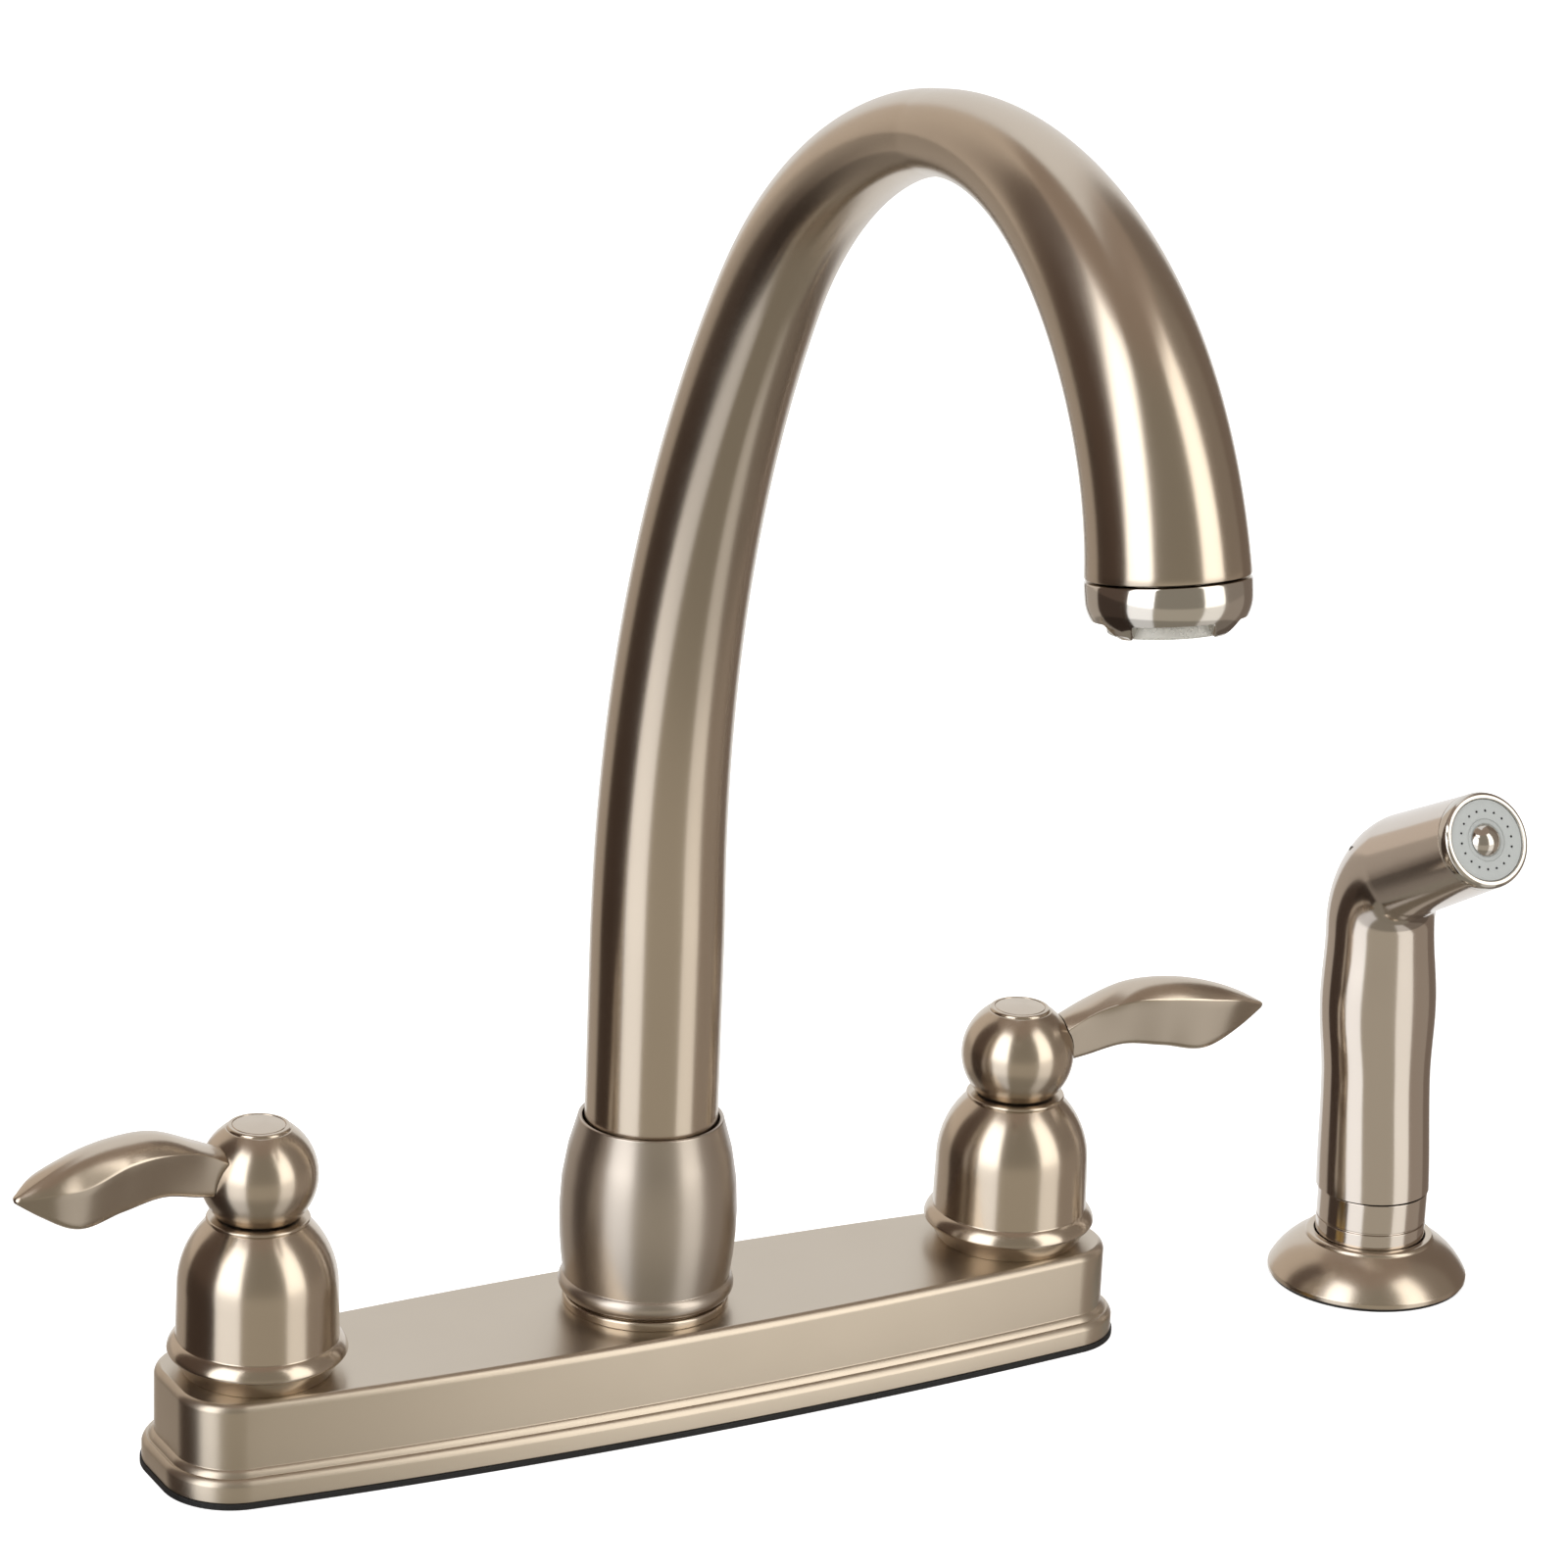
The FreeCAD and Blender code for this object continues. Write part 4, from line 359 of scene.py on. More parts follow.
# %% Plate and gasket
LIP, GROOVE, WALL, SHELL = 0.4, 1.9, 3.3, 5.5
FLANGE_SIDE, FLANGE_STEP, FLANGE_TOP, EDGE_BOW, TOP_ROUND, ROOF = 3.9, 5.6, 7.3, 3.0, 2.1, 2.4
foot, top = low("deck_plate"), high("deck_plate")
plate_profile = [
    (-SHELL, top - ROOF), (-SHELL, foot), (-LIP, foot), (-LIP, foot + FLANGE_SIDE), Bow(EDGE_BOW),
    (-GROOVE + 0.3, foot + FLANGE_STEP), (-GROOVE, foot + FLANGE_STEP - 0.15), (-GROOVE - 0.2,
                                                                                foot + FLANGE_STEP),
    Bow(EDGE_BOW), (-WALL, foot + FLANGE_TOP), (-WALL, top - TOP_ROUND), Bow(TOP_ROUND * 1.2),
    (-WALL - TOP_ROUND * 0.75, top), (-WALL - 3 * TOP_ROUND, top)]
points, corner = trace(plate_profile)
plate_rings = [plate_ring(-inset, height) for inset, height in soften(points, corner, closed=False)]
dress("deck_plate_shell", mesh_from("plate", *join_rings(plate_rings, capped=True)), "deck_plate")

gasket_profile = [(-6, 0), (0, 0), (0, foot), (-6, foot)]
points, corner = trace(gasket_profile)
gasket_rings = [plate_ring(-inset, height) for inset, height in soften(points, corner)]
dress("rubber_gasket", mesh_from("gasket", *join_rings(gasket_rings, closed=True)), "deck_gasket")
print("plate %.0f x %.0f mm" % (2 * half_length, 2 * half_depth))

# %% [markdown]
# ## Bells, balls and caps
# Each handle stands on a spun bell with a flared bead at its foot, and its hub is a ball with a cap.
# They are lathe work, so they are turned from outlines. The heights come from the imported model,
# and both sides are made by one loop.
# %% Bells
BELL_EDGE, BEAD_UP, BEAD, BEAD_EDGE, HEM, FOOT_UP = 21.25, 6.3, 2.3, 0.8, 20.1, 1.95
SKIRT, WAIST, SHOULDER_UP, DOME, BELL_WALL, BELL_EYE, LIP_ROUND = 19.2, 18.9, 21.0, 22.5, 1.8, 5.4, 0.5


def bell_loop(bottom, top):
    """Foot turned in, flared bead, nearly straight skirt, and a shoulder drawn in to a rolled lip."""
    bead, shoulder = bottom + BEAD_UP, bottom + SHOULDER_UP
    middle, lip = WAIST - DOME, top - 2 * LIP_ROUND
    neck = middle + math.sqrt(DOME ** 2 - (lip - shoulder) ** 2)
    ceiling = top - BELL_WALL
    inner_neck = middle + math.sqrt((DOME - BELL_WALL) ** 2 - (ceiling - shoulder) ** 2)
    return [(SKIRT - BELL_WALL, bottom), (SKIRT - BELL_WALL + 0.3, bottom), (HEM, bead - FOOT_UP), Bow(1.2),
            (BELL_EDGE, bead - BEAD_EDGE), Bow(5.0), (SKIRT, bead + BEAD), (WAIST, shoulder), Bow(DOME),
            (neck, lip), Bow(LIP_ROUND), (neck, top), (BELL_EYE, top), (BELL_EYE, ceiling),
            (inner_neck, ceiling), Bow(DOME - BELL_WALL, True), (WAIST - BELL_WALL, shoulder)]


for side in ("hot", "cold"):
    node = side + "_bell"
    dress(side + "_bell_shell", turned_mesh(node, bell_loop(low(node), high(node))), node,
          place=axis_of(node))

# %% Balls and caps
BALL, BALL_DROP, CAP, CAP_ROUND, CAP_RIM, CAP_SEAT = 13.95, 9.9, 7.5, 0.7, 1.1, 5.0
ball_middle = low("hot_handle_hub") + BALL_DROP


def ball_loop(bottom, top):
    """Ball cut flat below and on top, with a shallow hollow on top where the cap's plug sits."""
    low_radius = math.sqrt(BALL ** 2 - (ball_middle - bottom) ** 2)
    high_radius = math.sqrt(BALL ** 2 - (top - ball_middle) ** 2)
    return [(0, bottom), (low_radius, bottom), Bow(BALL), (BALL, ball_middle), Bow(BALL),
            (high_radius, top), (CAP_SEAT, top), (CAP_SEAT, top - 2), (0, top - 2)]


def cap_loop(bottom, seat, top):
    """Button with a rounded rim, a fine line inside it and a faintly domed middle, on its plug."""
    rim = top - 0.2
    return [(0, bottom), (CAP_SEAT - 0.1, bottom), (CAP_SEAT - 0.1, seat), (CAP, seat),
            (CAP, rim - CAP_ROUND), Bow(CAP_ROUND), (CAP - CAP_ROUND, rim), (CAP - CAP_RIM, rim),
            (CAP - CAP_RIM - 0.15, rim - 0.25), (CAP - CAP_RIM - 0.4, rim), Bow(90), (0, top)]


for side in ("hot", "cold"):
    hub, cap, axis = side + "_handle_hub", side + "_index_cap", axis_of(side + "_handle_hub")
    dress(side + "_ball", turned_mesh(hub, ball_loop(low(hub), high(hub))), hub, place=axis)
    dress(side + "_cap", turned_mesh(cap, cap_loop(low(cap), high(hub), high(cap))), cap, place=axis)

# %% [markdown]
# ## Levers
# A lever is a cast leaf: a crown arched between two softened creases, flat cheeks below them and a
# narrow keel. Sculpting would lose the creases, so seven sections give the sizes along it, a smooth curve
# runs through them, and the skin starts exactly on the ball, with a hair line between the two.
# %% Sections of a lever
# Distance out, then height of crown, crease towards the spout, other crease and keel, and the half
# widths at the creases and at the keel, all in millimetres.
LEVER = [(8.5, 81.6, 78.6, 78.4, 70.2, 5.0, 2.5), (17.0, 85.4, 84.0, 83.6, 71.9, 5.5, 2.6),
         (27.0, 89.7, 87.1, 86.4, 74.2, 6.5, 2.9), (38.0, 90.6, 87.1, 86.4, 73.0, 6.8, 3.0),
         (50.0, 88.7, 85.8, 83.0, 71.6, 6.1, 2.8), (59.0, 85.3, 84.2, 82.5, 76.6, 4.1, 2.0),
         (64.5, 82.3, 81.9, 81.5, 80.6, 1.2, 0.6)]
LEVER_STEPS, JOINT_LINE, CROWN_STEPS, CROWN_POWER, CREASE_ROUND = 72, 0.15, 12, 2.3, 0.04


def smooth_through(stations, reach):
    """Values at a reach, on a smooth curve through the stations."""
    table = np.array(stations)
    x = table[:, 0]
    slopes = np.gradient(table, x, axis=0)
    k = int(np.clip(np.searchsorted(x, reach) - 1, 0, len(x) - 2))
    width = x[k + 1] - x[k]
    t = (reach - x[k]) / width
    start, end = table[k], table[k + 1]
    return (start * (1 + 2 * t) * (1 - t) ** 2 + slopes[k] * width * t * (1 - t) ** 2
            + end * t * t * (3 - 2 * t) + slopes[k + 1] * width * t * t * (t - 1))


def lever_outline(reach):
    """Closed section of the lever as across and height, anticlockwise from the keel."""
    _, crown, near, far, keel, half, keel_half = smooth_through(LEVER, reach)
    arch = []
    for step in range(2 * CROWN_STEPS + 1):
        turn = math.pi / 2 * step / CROWN_STEPS
        across = half * min(max(math.cos(turn), CREASE_ROUND - 1), 1 - CREASE_ROUND)
        crease = far if across > 0 else near
        arch.append((across, crown - (crown - crease) * abs(across / half) ** CROWN_POWER))
    lower = rounded_keel([(-half, near), (-keel_half, keel), (keel_half, keel), (half, far)])
    return (arch + round_off(arch[-1], (-half, near), lower[0]) + lower
            + round_off(lower[-1], (half, far), arch[0]))


def round_off(before, corner, after):
    """Inner points of a small curve that takes the place of a corner."""
    a, b, c = [np.array(p, float) for p in (before, corner, after)]
    return [tuple(a * (1 - t) ** 2 + b * 2 * t * (1 - t) + c * t * t) for t in (0.25, 0.5, 0.75)]


def rounded_keel(corners):
    """Cheek, rounded keel and cheek again, as points between the two creases."""
    a, b, c, d = [np.array(p, float) for p in corners]
    made = [tuple(a + (b - a) * t) for t in (0.02, 0.2, 0.4, 0.6, 0.78)]
    for p, q, r in ((a, b, c), (b, c, d)):
        into, out = (p - q) * (0.14 if p is a else 0.42), (r - q) * (0.14 if r is d else 0.42)
        made += [tuple(q + into * (1 - t) ** 2 + out * t * t) for t in (0, 0.25, 0.5, 0.75, 1)]
    made += [tuple(c + (d - c) * t) for t in (0.22, 0.4, 0.6, 0.8, 0.98)]
    return made


def lever_mesh(name):
    """Skin from the ball to the tip, along +X from the handle's axis."""
    ball = np.array([0, 0, ball_middle])
    last = LEVER[-1][0]
    columns = []
    count = len(lever_outline(20))
    reaches = np.linspace(LEVER[0][0], last, 240)
    skin = np.array([[(reach, y, z) for y, z in lever_outline(reach)] for reach in reaches])
    rings = []
    for column in range(count):
        away = np.linalg.norm(skin[:, column] - ball, axis=1)
        start = np.interp(BALL + JOINT_LINE, away[:60], reaches[:60])
        spread = start + (last - start) * np.linspace(0, 1, LEVER_STEPS) ** 0.95
        columns.append([[np.interp(r, reaches, skin[:, column, axis]) for axis in range(3)] for r in spread])
    grid = np.array(columns)
    rings = [[tuple(p) for p in grid[:, step]] for step in range(LEVER_STEPS)]
    tip = np.array(rings[-1]).mean(0) + np.array([0.5, 0, 0])
    rings.append([tuple(np.array(p) * 0.55 + tip * 0.45 + np.array([0.15, 0, 0])) for p in rings[-1]])
    rings.append([tuple(tip)])
    return mesh_from(name, *join_rings(rings))


# %% Both levers
LEVER_TURN = math.radians(10)
for side, turn in (("hot", math.pi + LEVER_TURN), ("cold", -LEVER_TURN)):
    where = axis_of(side + "_handle_hub") @ Matrix.Rotation(turn, 4, "Z")
    dress(side + "_lever_leaf", lever_mesh(side + "_leaf"), side + "_lever", place=where)

# %% [markdown]
# ## Foot of the spout
# The spout turns inside a barrel that stands on a low ring. Both are turned, and the step between
# them is what draws the dark line at the barrel's foot.
# %% Ring and barrel
plate_top = high("deck_plate")
RING, RING_UP, RING_ROUND, RING_NECK, RING_BORE = 20.2, 2.3, 0.8, 18.6, 16.5
barrel_foot, barrel_top = low("spout_collar"), plate_top + 47.4
ring_loop = [(RING_BORE, plate_top), (RING, plate_top), (RING, plate_top + RING_UP - RING_ROUND),
             Bow(RING_ROUND),
             (RING - RING_ROUND, plate_top + RING_UP), (RING_NECK, plate_top + RING_UP),
             (RING_NECK, barrel_foot), (RING_BORE, barrel_foot)]
dress("spout_foot_ring", turned_mesh("ring", ring_loop), "spout_base_ring")

FOOT, BARREL_BEAD, BEAD_HEIGHT, BELLY, BELLY_UP, RIM, BORE = 20.2, 21.25, 4.4, 21.45, 24.1, 17.6, 16.5
belly = plate_top + BELLY_UP
bead_top = barrel_foot + BEAD_HEIGHT
bead_bow = Bow(rise_over(BEAD_HEIGHT / 2, BARREL_BEAD - FOOT))
rim_round = (RIM - BORE) / 2
barrel_loop = [(BORE, barrel_foot), (FOOT, barrel_foot), bead_bow, (BARREL_BEAD,
                                                                    barrel_foot + BEAD_HEIGHT / 2),
               bead_bow, (FOOT, bead_top), Bow(rise_over(belly - bead_top, BELLY - FOOT)), (BELLY, belly),
               Bow(rise_over(barrel_top - belly, BELLY - RIM)), (RIM, barrel_top), Bow(rim_round),
               (RIM - rim_round, barrel_top + rim_round), (BORE, barrel_top + rim_round / 2)]
barrel_mesh = turned_mesh("barrel", barrel_loop)
barrel_mesh.materials.append(barrel_finish)
dress("spout_barrel", barrel_mesh, "spout_collar")

# %% [markdown]
# ## Gooseneck
# The spout is one drawn tube: straight at the foot, then three arcs, each tighter than the last.
# It tapers slowly up to a neck near the top and flares to the tip, and it is a little wider than
# high in the bend. It follows a path by a rule, so Geometry Nodes sweep it: a line of points that
# carry their radius becomes a curve, a circle runs along it, and the result is widened across.
# %% Path and radius
STRAIGHT = 129.6
BENDS = [(294.0, 31.5), (112.4, 37.3), (84.4, 101.1)]
FOOT_RADIUS, NECK_RADIUS, TIP_RADIUS = 16.0, 9.05, 16.5
TAPER_START, NECK_ANGLE, WIDER = 10.0, 80.0, 1.2
tube_foot = low("spout_tube")


def along_bends(heading):
    """Place in the spout's plane, and length gone since the bends began, at a heading in degrees."""
    y, z, gone, turned = 0.0, STRAIGHT, 0.0, 0.0
    for radius, angle in BENDS:
        here = math.radians(min(max(heading - turned, 0), angle))
        start = math.radians(turned)
        y -= radius * (math.cos(start) - math.cos(start + here))
        z += radius * (math.sin(start + here) - math.sin(start))
        gone += radius * here
        turned += angle
    return y, z, gone


TIP_HEADING = sum(angle for radius, angle in BENDS)
neck_gone, tip_gone = along_bends(NECK_ANGLE)[2], along_bends(TIP_HEADING)[2]


def tube_radius(gone):
    """Half the tube's height: a slow taper to the neck, then a flare."""
    if gone <= neck_gone:
        share = max(gone + TAPER_START, 0) / (neck_gone + TAPER_START)
        return FOOT_RADIUS - (FOOT_RADIUS - NECK_RADIUS) * share ** 1.15
    share = (gone - neck_gone) / (tip_gone - neck_gone)
    swell = share - 0.114 * math.sin(2 * math.pi * share) * (1 - share)
    return NECK_RADIUS + (TIP_RADIUS - NECK_RADIUS) * swell


path, radii, widening = [], [], []
for height in np.linspace(tube_foot, STRAIGHT, 34)[:-1]:
    path.append((0, 0, height * mm))
    radii.append(tube_radius(height - STRAIGHT) * mm)
    widening.append(0)
END_ROUND = [(0.3, 0), (0.1, 0.12), (0, 0.45)]
bends = [(heading, 0) for heading in np.linspace(0, TIP_HEADING, 171)[:-1]]
for heading, less in bends + [(TIP_HEADING - back, less) for back, less in END_ROUND]:
    y, z, gone = along_bends(heading)
    path.append((0, y * mm, z * mm))
    radii.append((tube_radius(gone) - less) * mm)
    widening.append(WIDER * math.sin(math.radians(heading)) ** 2 * mm / radii[-1])
line = bpy.data.meshes.new("spout_path")
line.from_pydata(path, [(k, k + 1) for k in range(len(path) - 1)], [])
line.attributes.new("tube_radius", "FLOAT", "POINT").data.foreach_set("value", radii)
line.attributes.new("widening", "FLOAT", "POINT").data.foreach_set("value", widening)
print("spout path of %d points, tip heading %.1f degrees" % (len(path), TIP_HEADING))


# %% Helpers for Geometry Nodes
def new_shape_tree(name, sizes):
    """Geometry node group with named inputs; sizes gives each one's name, kind and default."""
    tree = bpy.data.node_groups.new(name, "GeometryNodeTree")
    tree.interface.new_socket("Geometry", in_out="INPUT", socket_type="NodeSocketGeometry")
    for label, kind, value in sizes:
        tree.interface.new_socket(label, in_out="INPUT", socket_type=kind).default_value = value
    tree.interface.new_socket("Geometry", in_out="OUTPUT", socket_type="NodeSocketGeometry")
    return tree, tree.nodes.new("NodeGroupInput").outputs


def run_shape_tree(name, mesh, tree, **sizes):
    """Runs a tree on a mesh, with inputs set by identifier, and gives the result as a plain mesh."""
    carrier = bpy.data.objects.new(name, mesh)
    bpy.context.scene.collection.objects.link(carrier)
    modifier = carrier.modifiers.new("shape", "NODES")
    modifier.node_group = tree
    for item in tree.interface.items_tree:
        if item.in_out == "INPUT" and item.name in sizes:
            modifier[item.identifier] = sizes[item.name]
    result = bpy.data.meshes.new_from_object(carrier.evaluated_get(bpy.context.evaluated_depsgraph_get()))
    bpy.data.objects.remove(carrier)
    return result


# %% Sweep the tube
tree, given = new_shape_tree("swept_tube", [("Sides", "NodeSocketInt", 96), ("Finish",
                                                                             "NodeSocketMaterial", None)])
read_radius = add_node(tree, "GeometryNodeInputNamedAttribute", {"data_type": "FLOAT"}, Name="tube_radius")
read_widening = add_node(tree, "GeometryNodeInputNamedAttribute", {"data_type": "FLOAT"}, Name="widening")
curve = add_node(tree, "GeometryNodeMeshToCurve", Mesh=given["Geometry"])
steady = add_node(tree, "GeometryNodeSetCurveNormal", Curve=curve.outputs[0])
sized = add_node(tree, "GeometryNodeSetCurveRadius", Curve=steady.outputs[0], Radius=read_radius.outputs[0])
circle = add_node(tree, "GeometryNodeCurvePrimitiveCircle", Resolution=given["Sides"], Radius=1.0)
way = add_node(tree, "GeometryNodeInputTangent")
marked = add_node(tree, "GeometryNodeStoreNamedAttribute", {"data_type": "FLOAT_VECTOR"},
                  Geometry=sized.outputs[0], Name="tube_way", Value=way.outputs[0])
swept = add_node(tree, "GeometryNodeCurveToMesh", Curve=marked.outputs[0], Profile_Curve=circle.outputs[0],
                 Fill_Caps=True)
if "Scale" in swept.inputs:
    tree.links.new(read_radius.outputs[0], swept.inputs["Scale"])
where = add_node(tree, "GeometryNodeInputPosition")
parts = add_node(tree, "ShaderNodeSeparateXYZ", Vector=where.outputs[0])
wider = add_node(tree, "ShaderNodeMath", {"operation": "MULTIPLY"}, i0=parts.outputs[0],
                 i1=read_widening.outputs[0])
offset = add_node(tree, "ShaderNodeCombineXYZ", X=wider.outputs[0])
widened = add_node(tree, "GeometryNodeSetPosition", Geometry=swept.outputs[0], Offset=offset.outputs[0])
real = add_node(tree, "GeometryNodeRealizeInstances", Geometry=widened.outputs[0])
painted = add_node(tree, "GeometryNodeSetMaterial", Geometry=real.outputs[0], Material=given["Finish"])
tree.links.new(painted.outputs[0], tree.nodes.new("NodeGroupOutput").inputs[0])
tube_mesh = run_shape_tree("swept_tube", line, tree, Sides=112, Finish=tube_finish)
tube_mesh.shade_smooth()
tube_mesh.set_sharp_from_angle(angle=math.radians(38))
dress("gooseneck", tube_mesh, "spout_tube")
print("gooseneck of %d faces" % len(tube_mesh.polygons))

# %% [markdown]
# ## Aerator
# A polished ring screws into the tip. Its lower edge has four wide notches for a wrench, and a
# translucent insert shows in them. A boolean cutter would leave long thin faces on a mirror-like
# ring, so the ring is made from an outline for each direction, with the notch written into it.
# %% Cutting and placing
def box_mesh(name, loop, half_width):
    """Prism along X over an outline of Y and Z."""
    rings = [[(x, y, z) for y, z in loop] for x in (-half_width, half_width)]
    return mesh_from(name, *join_rings(rings, capped=True))


def cut_away(mesh, cutter):
    """What is left of a mesh without the cutter's space."""
    scene = bpy.context.scene.collection.objects
    whole, tool = bpy.data.objects.new("whole", mesh), bpy.data.objects.new("tool", cutter)
    scene.link(whole)
    scene.link(tool)
    boolean = whole.modifiers.new("cut", "BOOLEAN")
    boolean.operation = "DIFFERENCE"
    boolean.solver = "EXACT"
    boolean.object = tool
    result = bpy.data.meshes.new_from_object(whole.evaluated_get(bpy.context.evaluated_depsgraph_get()))
    bpy.data.objects.remove(whole)
    bpy.data.objects.remove(tool)
    result.shade_smooth()
    result.set_sharp_from_angle(angle=math.radians(38))
    return result


def heading_at(y, z, heading, x=0.0, forward=0.0):
    """Matrix that sets +Z along a heading from up towards -Y, at a point in millimetres."""
    turn = Matrix.Rotation(math.radians(heading), 4, "X")
    return Matrix.Translation((x * mm, (y + forward) * mm, z * mm)) @ turn


# %% Ring and insert
tip_y, tip_z, _ = along_bends(TIP_HEADING)
at_tip = heading_at(tip_y, tip_z, TIP_HEADING)
AERATOR, AERATOR_END, LENGTH, STRAIGHT_SIDE, JOINT, THREAD = 16.6, 13.0, 11.0, 3.5, 0.3, 13.1
MOUTH, NOTCHES, NOTCH_HALF, NOTCH_RAMP, NOTCH_DEPTH, NOTCH_TURN = 12.4, 4, 35.0, 10.0, 3.0, 28.4
ring_side = JOINT + STRAIGHT_SIDE
side_round = rise_over(LENGTH - ring_side, AERATOR - AERATOR_END)


def side_radius(height):
    """Outside of the ring: straight, then drawn in by an arc."""
    return AERATOR - side_round + math.sqrt(side_round ** 2 - max(height - ring_side, 0) ** 2)


def notch_share(turn):
    """1 inside a notch for the wrench, 0 on the lugs between, eased over the ramps."""
    pitch = 360 / NOTCHES
    off = abs((math.degrees(turn) - NOTCH_TURN + pitch / 2) % pitch - pitch / 2)
    share = min(max((NOTCH_HALF + NOTCH_RAMP / 2 - off) / NOTCH_RAMP, 0), 1)
    return share * share * (3 - 2 * share)


def notched_mesh(name, column):
    """Skin from one closed outline of radius and height for each direction."""
    turns = [math.pi * k / ROUND_STEPS for k in range(2 * ROUND_STEPS)]
    columns = [[(radius * math.cos(turn), radius * math.sin(turn), height) for radius, height in column(turn)]
               for turn in turns]
    return mesh_from(name, *join_rings([list(ring) for ring in zip(*columns)], closed=True))


def ring_column(turn):
    end = LENGTH - NOTCH_DEPTH * notch_share(turn)
    heights = [ring_side + (end - ring_side) * step / 8 for step in range(9)]
    return ([(10.8, ring_side), (10.8, -7), (THREAD, -7), (THREAD, JOINT), (AERATOR - 0.5, JOINT),
             (AERATOR - 0.15, JOINT + 0.15), (AERATOR, JOINT + 0.5)]
            + [(side_radius(height), height) for height in heights]
            + [(side_radius(end) - 0.3, end + 0.1), (MOUTH + 0.1, end), (MOUTH, end - 0.1), (MOUTH,
                                                                                             ring_side)])


dress("aerator_ring", notched_mesh("aerator_ring", ring_column), "aerator_housing", place=at_tip)
insert_mesh = turned_mesh("insert", [
    (0, ring_side + 1), (MOUTH - 0.05, ring_side + 1), (MOUTH - 0.05, LENGTH - 0.4), (MOUTH - 0.65, LENGTH),
    (8, LENGTH), (8, LENGTH - 2), (0, LENGTH - 2)])
dress("aerator_insert_disc", insert_mesh, "aerator_insert", place=at_tip)

# %% [markdown]
# ## Holder and coupling of the hand spray
# The hand spray stands in a domed flange of its own, and a grooved ring joins it to its hose. Both
# are turned about the holder's axis.
# %% Holder, gasket and coupling
beside = axis_of("spray_holder")
spray_x, spray_y = beside.translation.x / mm, beside.translation.y / mm
holder_base, holder_top = high("holder_gasket"), high("spray_holder")
HOLDER, HOLDER_EDGE, HOLDER_DOME, HOLDER_RIM, POCKET = 25.6, 1.2, 21.0, 16.6, 14.35
COUPLING, GROOVE_UP, GROOVE_CUT, COUPLING_EDGE = 14.05, 16.2, 0.5, 0.2
coupling_foot, grip_foot = 9.9, 24.5
pocket_lip = (HOLDER_RIM - POCKET) / 2
holder_loop = [(15.15, holder_base), (HOLDER, holder_base),
               (HOLDER, holder_base + HOLDER_EDGE), Bow(HOLDER_DOME), (HOLDER_RIM, holder_top - pocket_lip),
               Bow(pocket_lip), (HOLDER_RIM - pocket_lip, holder_top), (POCKET, holder_top),
               (POCKET, coupling_foot - 0.3), (15.15, coupling_foot - 0.3)]
holder_mesh = turned_mesh("holder", holder_loop)
holder_mesh.materials.append(holder_finish)
dress("holder_dome", holder_mesh, "spray_holder", place=beside)
coupling_loop = [(5.5, low("spray_coupling")), (11, low("spray_coupling")), (11, coupling_foot),
                 (COUPLING, coupling_foot), (COUPLING, GROOVE_UP), (COUPLING - GROOVE_CUT, GROOVE_UP),
                 (COUPLING - GROOVE_CUT, GROOVE_UP + GROOVE_CUT), (COUPLING, GROOVE_UP + GROOVE_CUT),
                 (COUPLING, grip_foot), (10.6, grip_foot), (10.6, high("spray_coupling")),
                 (6, high("spray_coupling")), (6, 2), (5.5, 2)]
dress("spray_foot_ring", turned_mesh("coupling", coupling_loop, COUPLING_EDGE), "spray_coupling",
      place=beside)

# %% [markdown]
# ## Grip and head of the hand spray
# Grip and head are one plated moulding. Oval sections follow a line that leans back, bends over
# and runs on to the face. The widths along the grip are eased from one value to the next, which
# gives the waist and the hip under the hand.
# %% Line and widths
LEAN, GRIP_FOOT, GRIP_TOP, GRIP_FOOT_Y = 4.7, 24.9, 94.5, 0.3
BEND, HEAD_RISE, HEAD_LENGTH, BEZEL = 20.0, 28.0, 36.0, 3.4
HALF_WIDTHS, HALF_DEPTHS = (14.7, 14.3, 15.5, 14.2), (14.2, 13.2, 13.4, 12.9)
AT_WAIST, AT_HIP, HEAD, HEAD_END, FLATTER = 0.42, 0.7, 13.3, 12.2, 0.1
head_heading = 90 - HEAD_RISE
grip_rise = GRIP_TOP - GRIP_FOOT
grip_top_y = GRIP_FOOT_Y + grip_rise * math.tan(math.radians(LEAN))
bend_y = grip_top_y - BEND * math.cos(math.radians(LEAN))
bend_z = GRIP_TOP + BEND * math.sin(math.radians(LEAN))


def eased(share, start, end):
    return start + (end - start) * (1 - math.cos(math.pi * share)) / 2


def along_grip(share, sizes):
    """Half width or half depth from foot, waist, hip and neck."""
    if share <= AT_WAIST:
        return eased(share / AT_WAIST, sizes[0], sizes[1])
    if share <= AT_HIP:
        return eased((share - AT_WAIST) / (AT_HIP - AT_WAIST), sizes[1], sizes[2])
    return eased((share - AT_HIP) / (1 - AT_HIP), sizes[2], sizes[3])


def round_bend(radius, angle):
    """Point at a distance from the bend's middle, the angle up from level."""
    return bend_y + radius * math.cos(math.radians(angle)), bend_z + radius * math.sin(math.radians(angle))


def oval_ring(half_width, half_depth, y, z, tilt):
    """Oval across the line: its middle, and its tilt from level."""
    cos, sin = math.cos(math.radians(tilt)), math.sin(math.radians(tilt))
    ring = []
    for k in range(ROUND_STEPS):
        a = 2 * math.pi * k / ROUND_STEPS
        across, deep = half_width * math.cos(a), half_depth * math.sin(a)
        ring.append((across, y + deep * cos, z + deep * sin))
    return ring


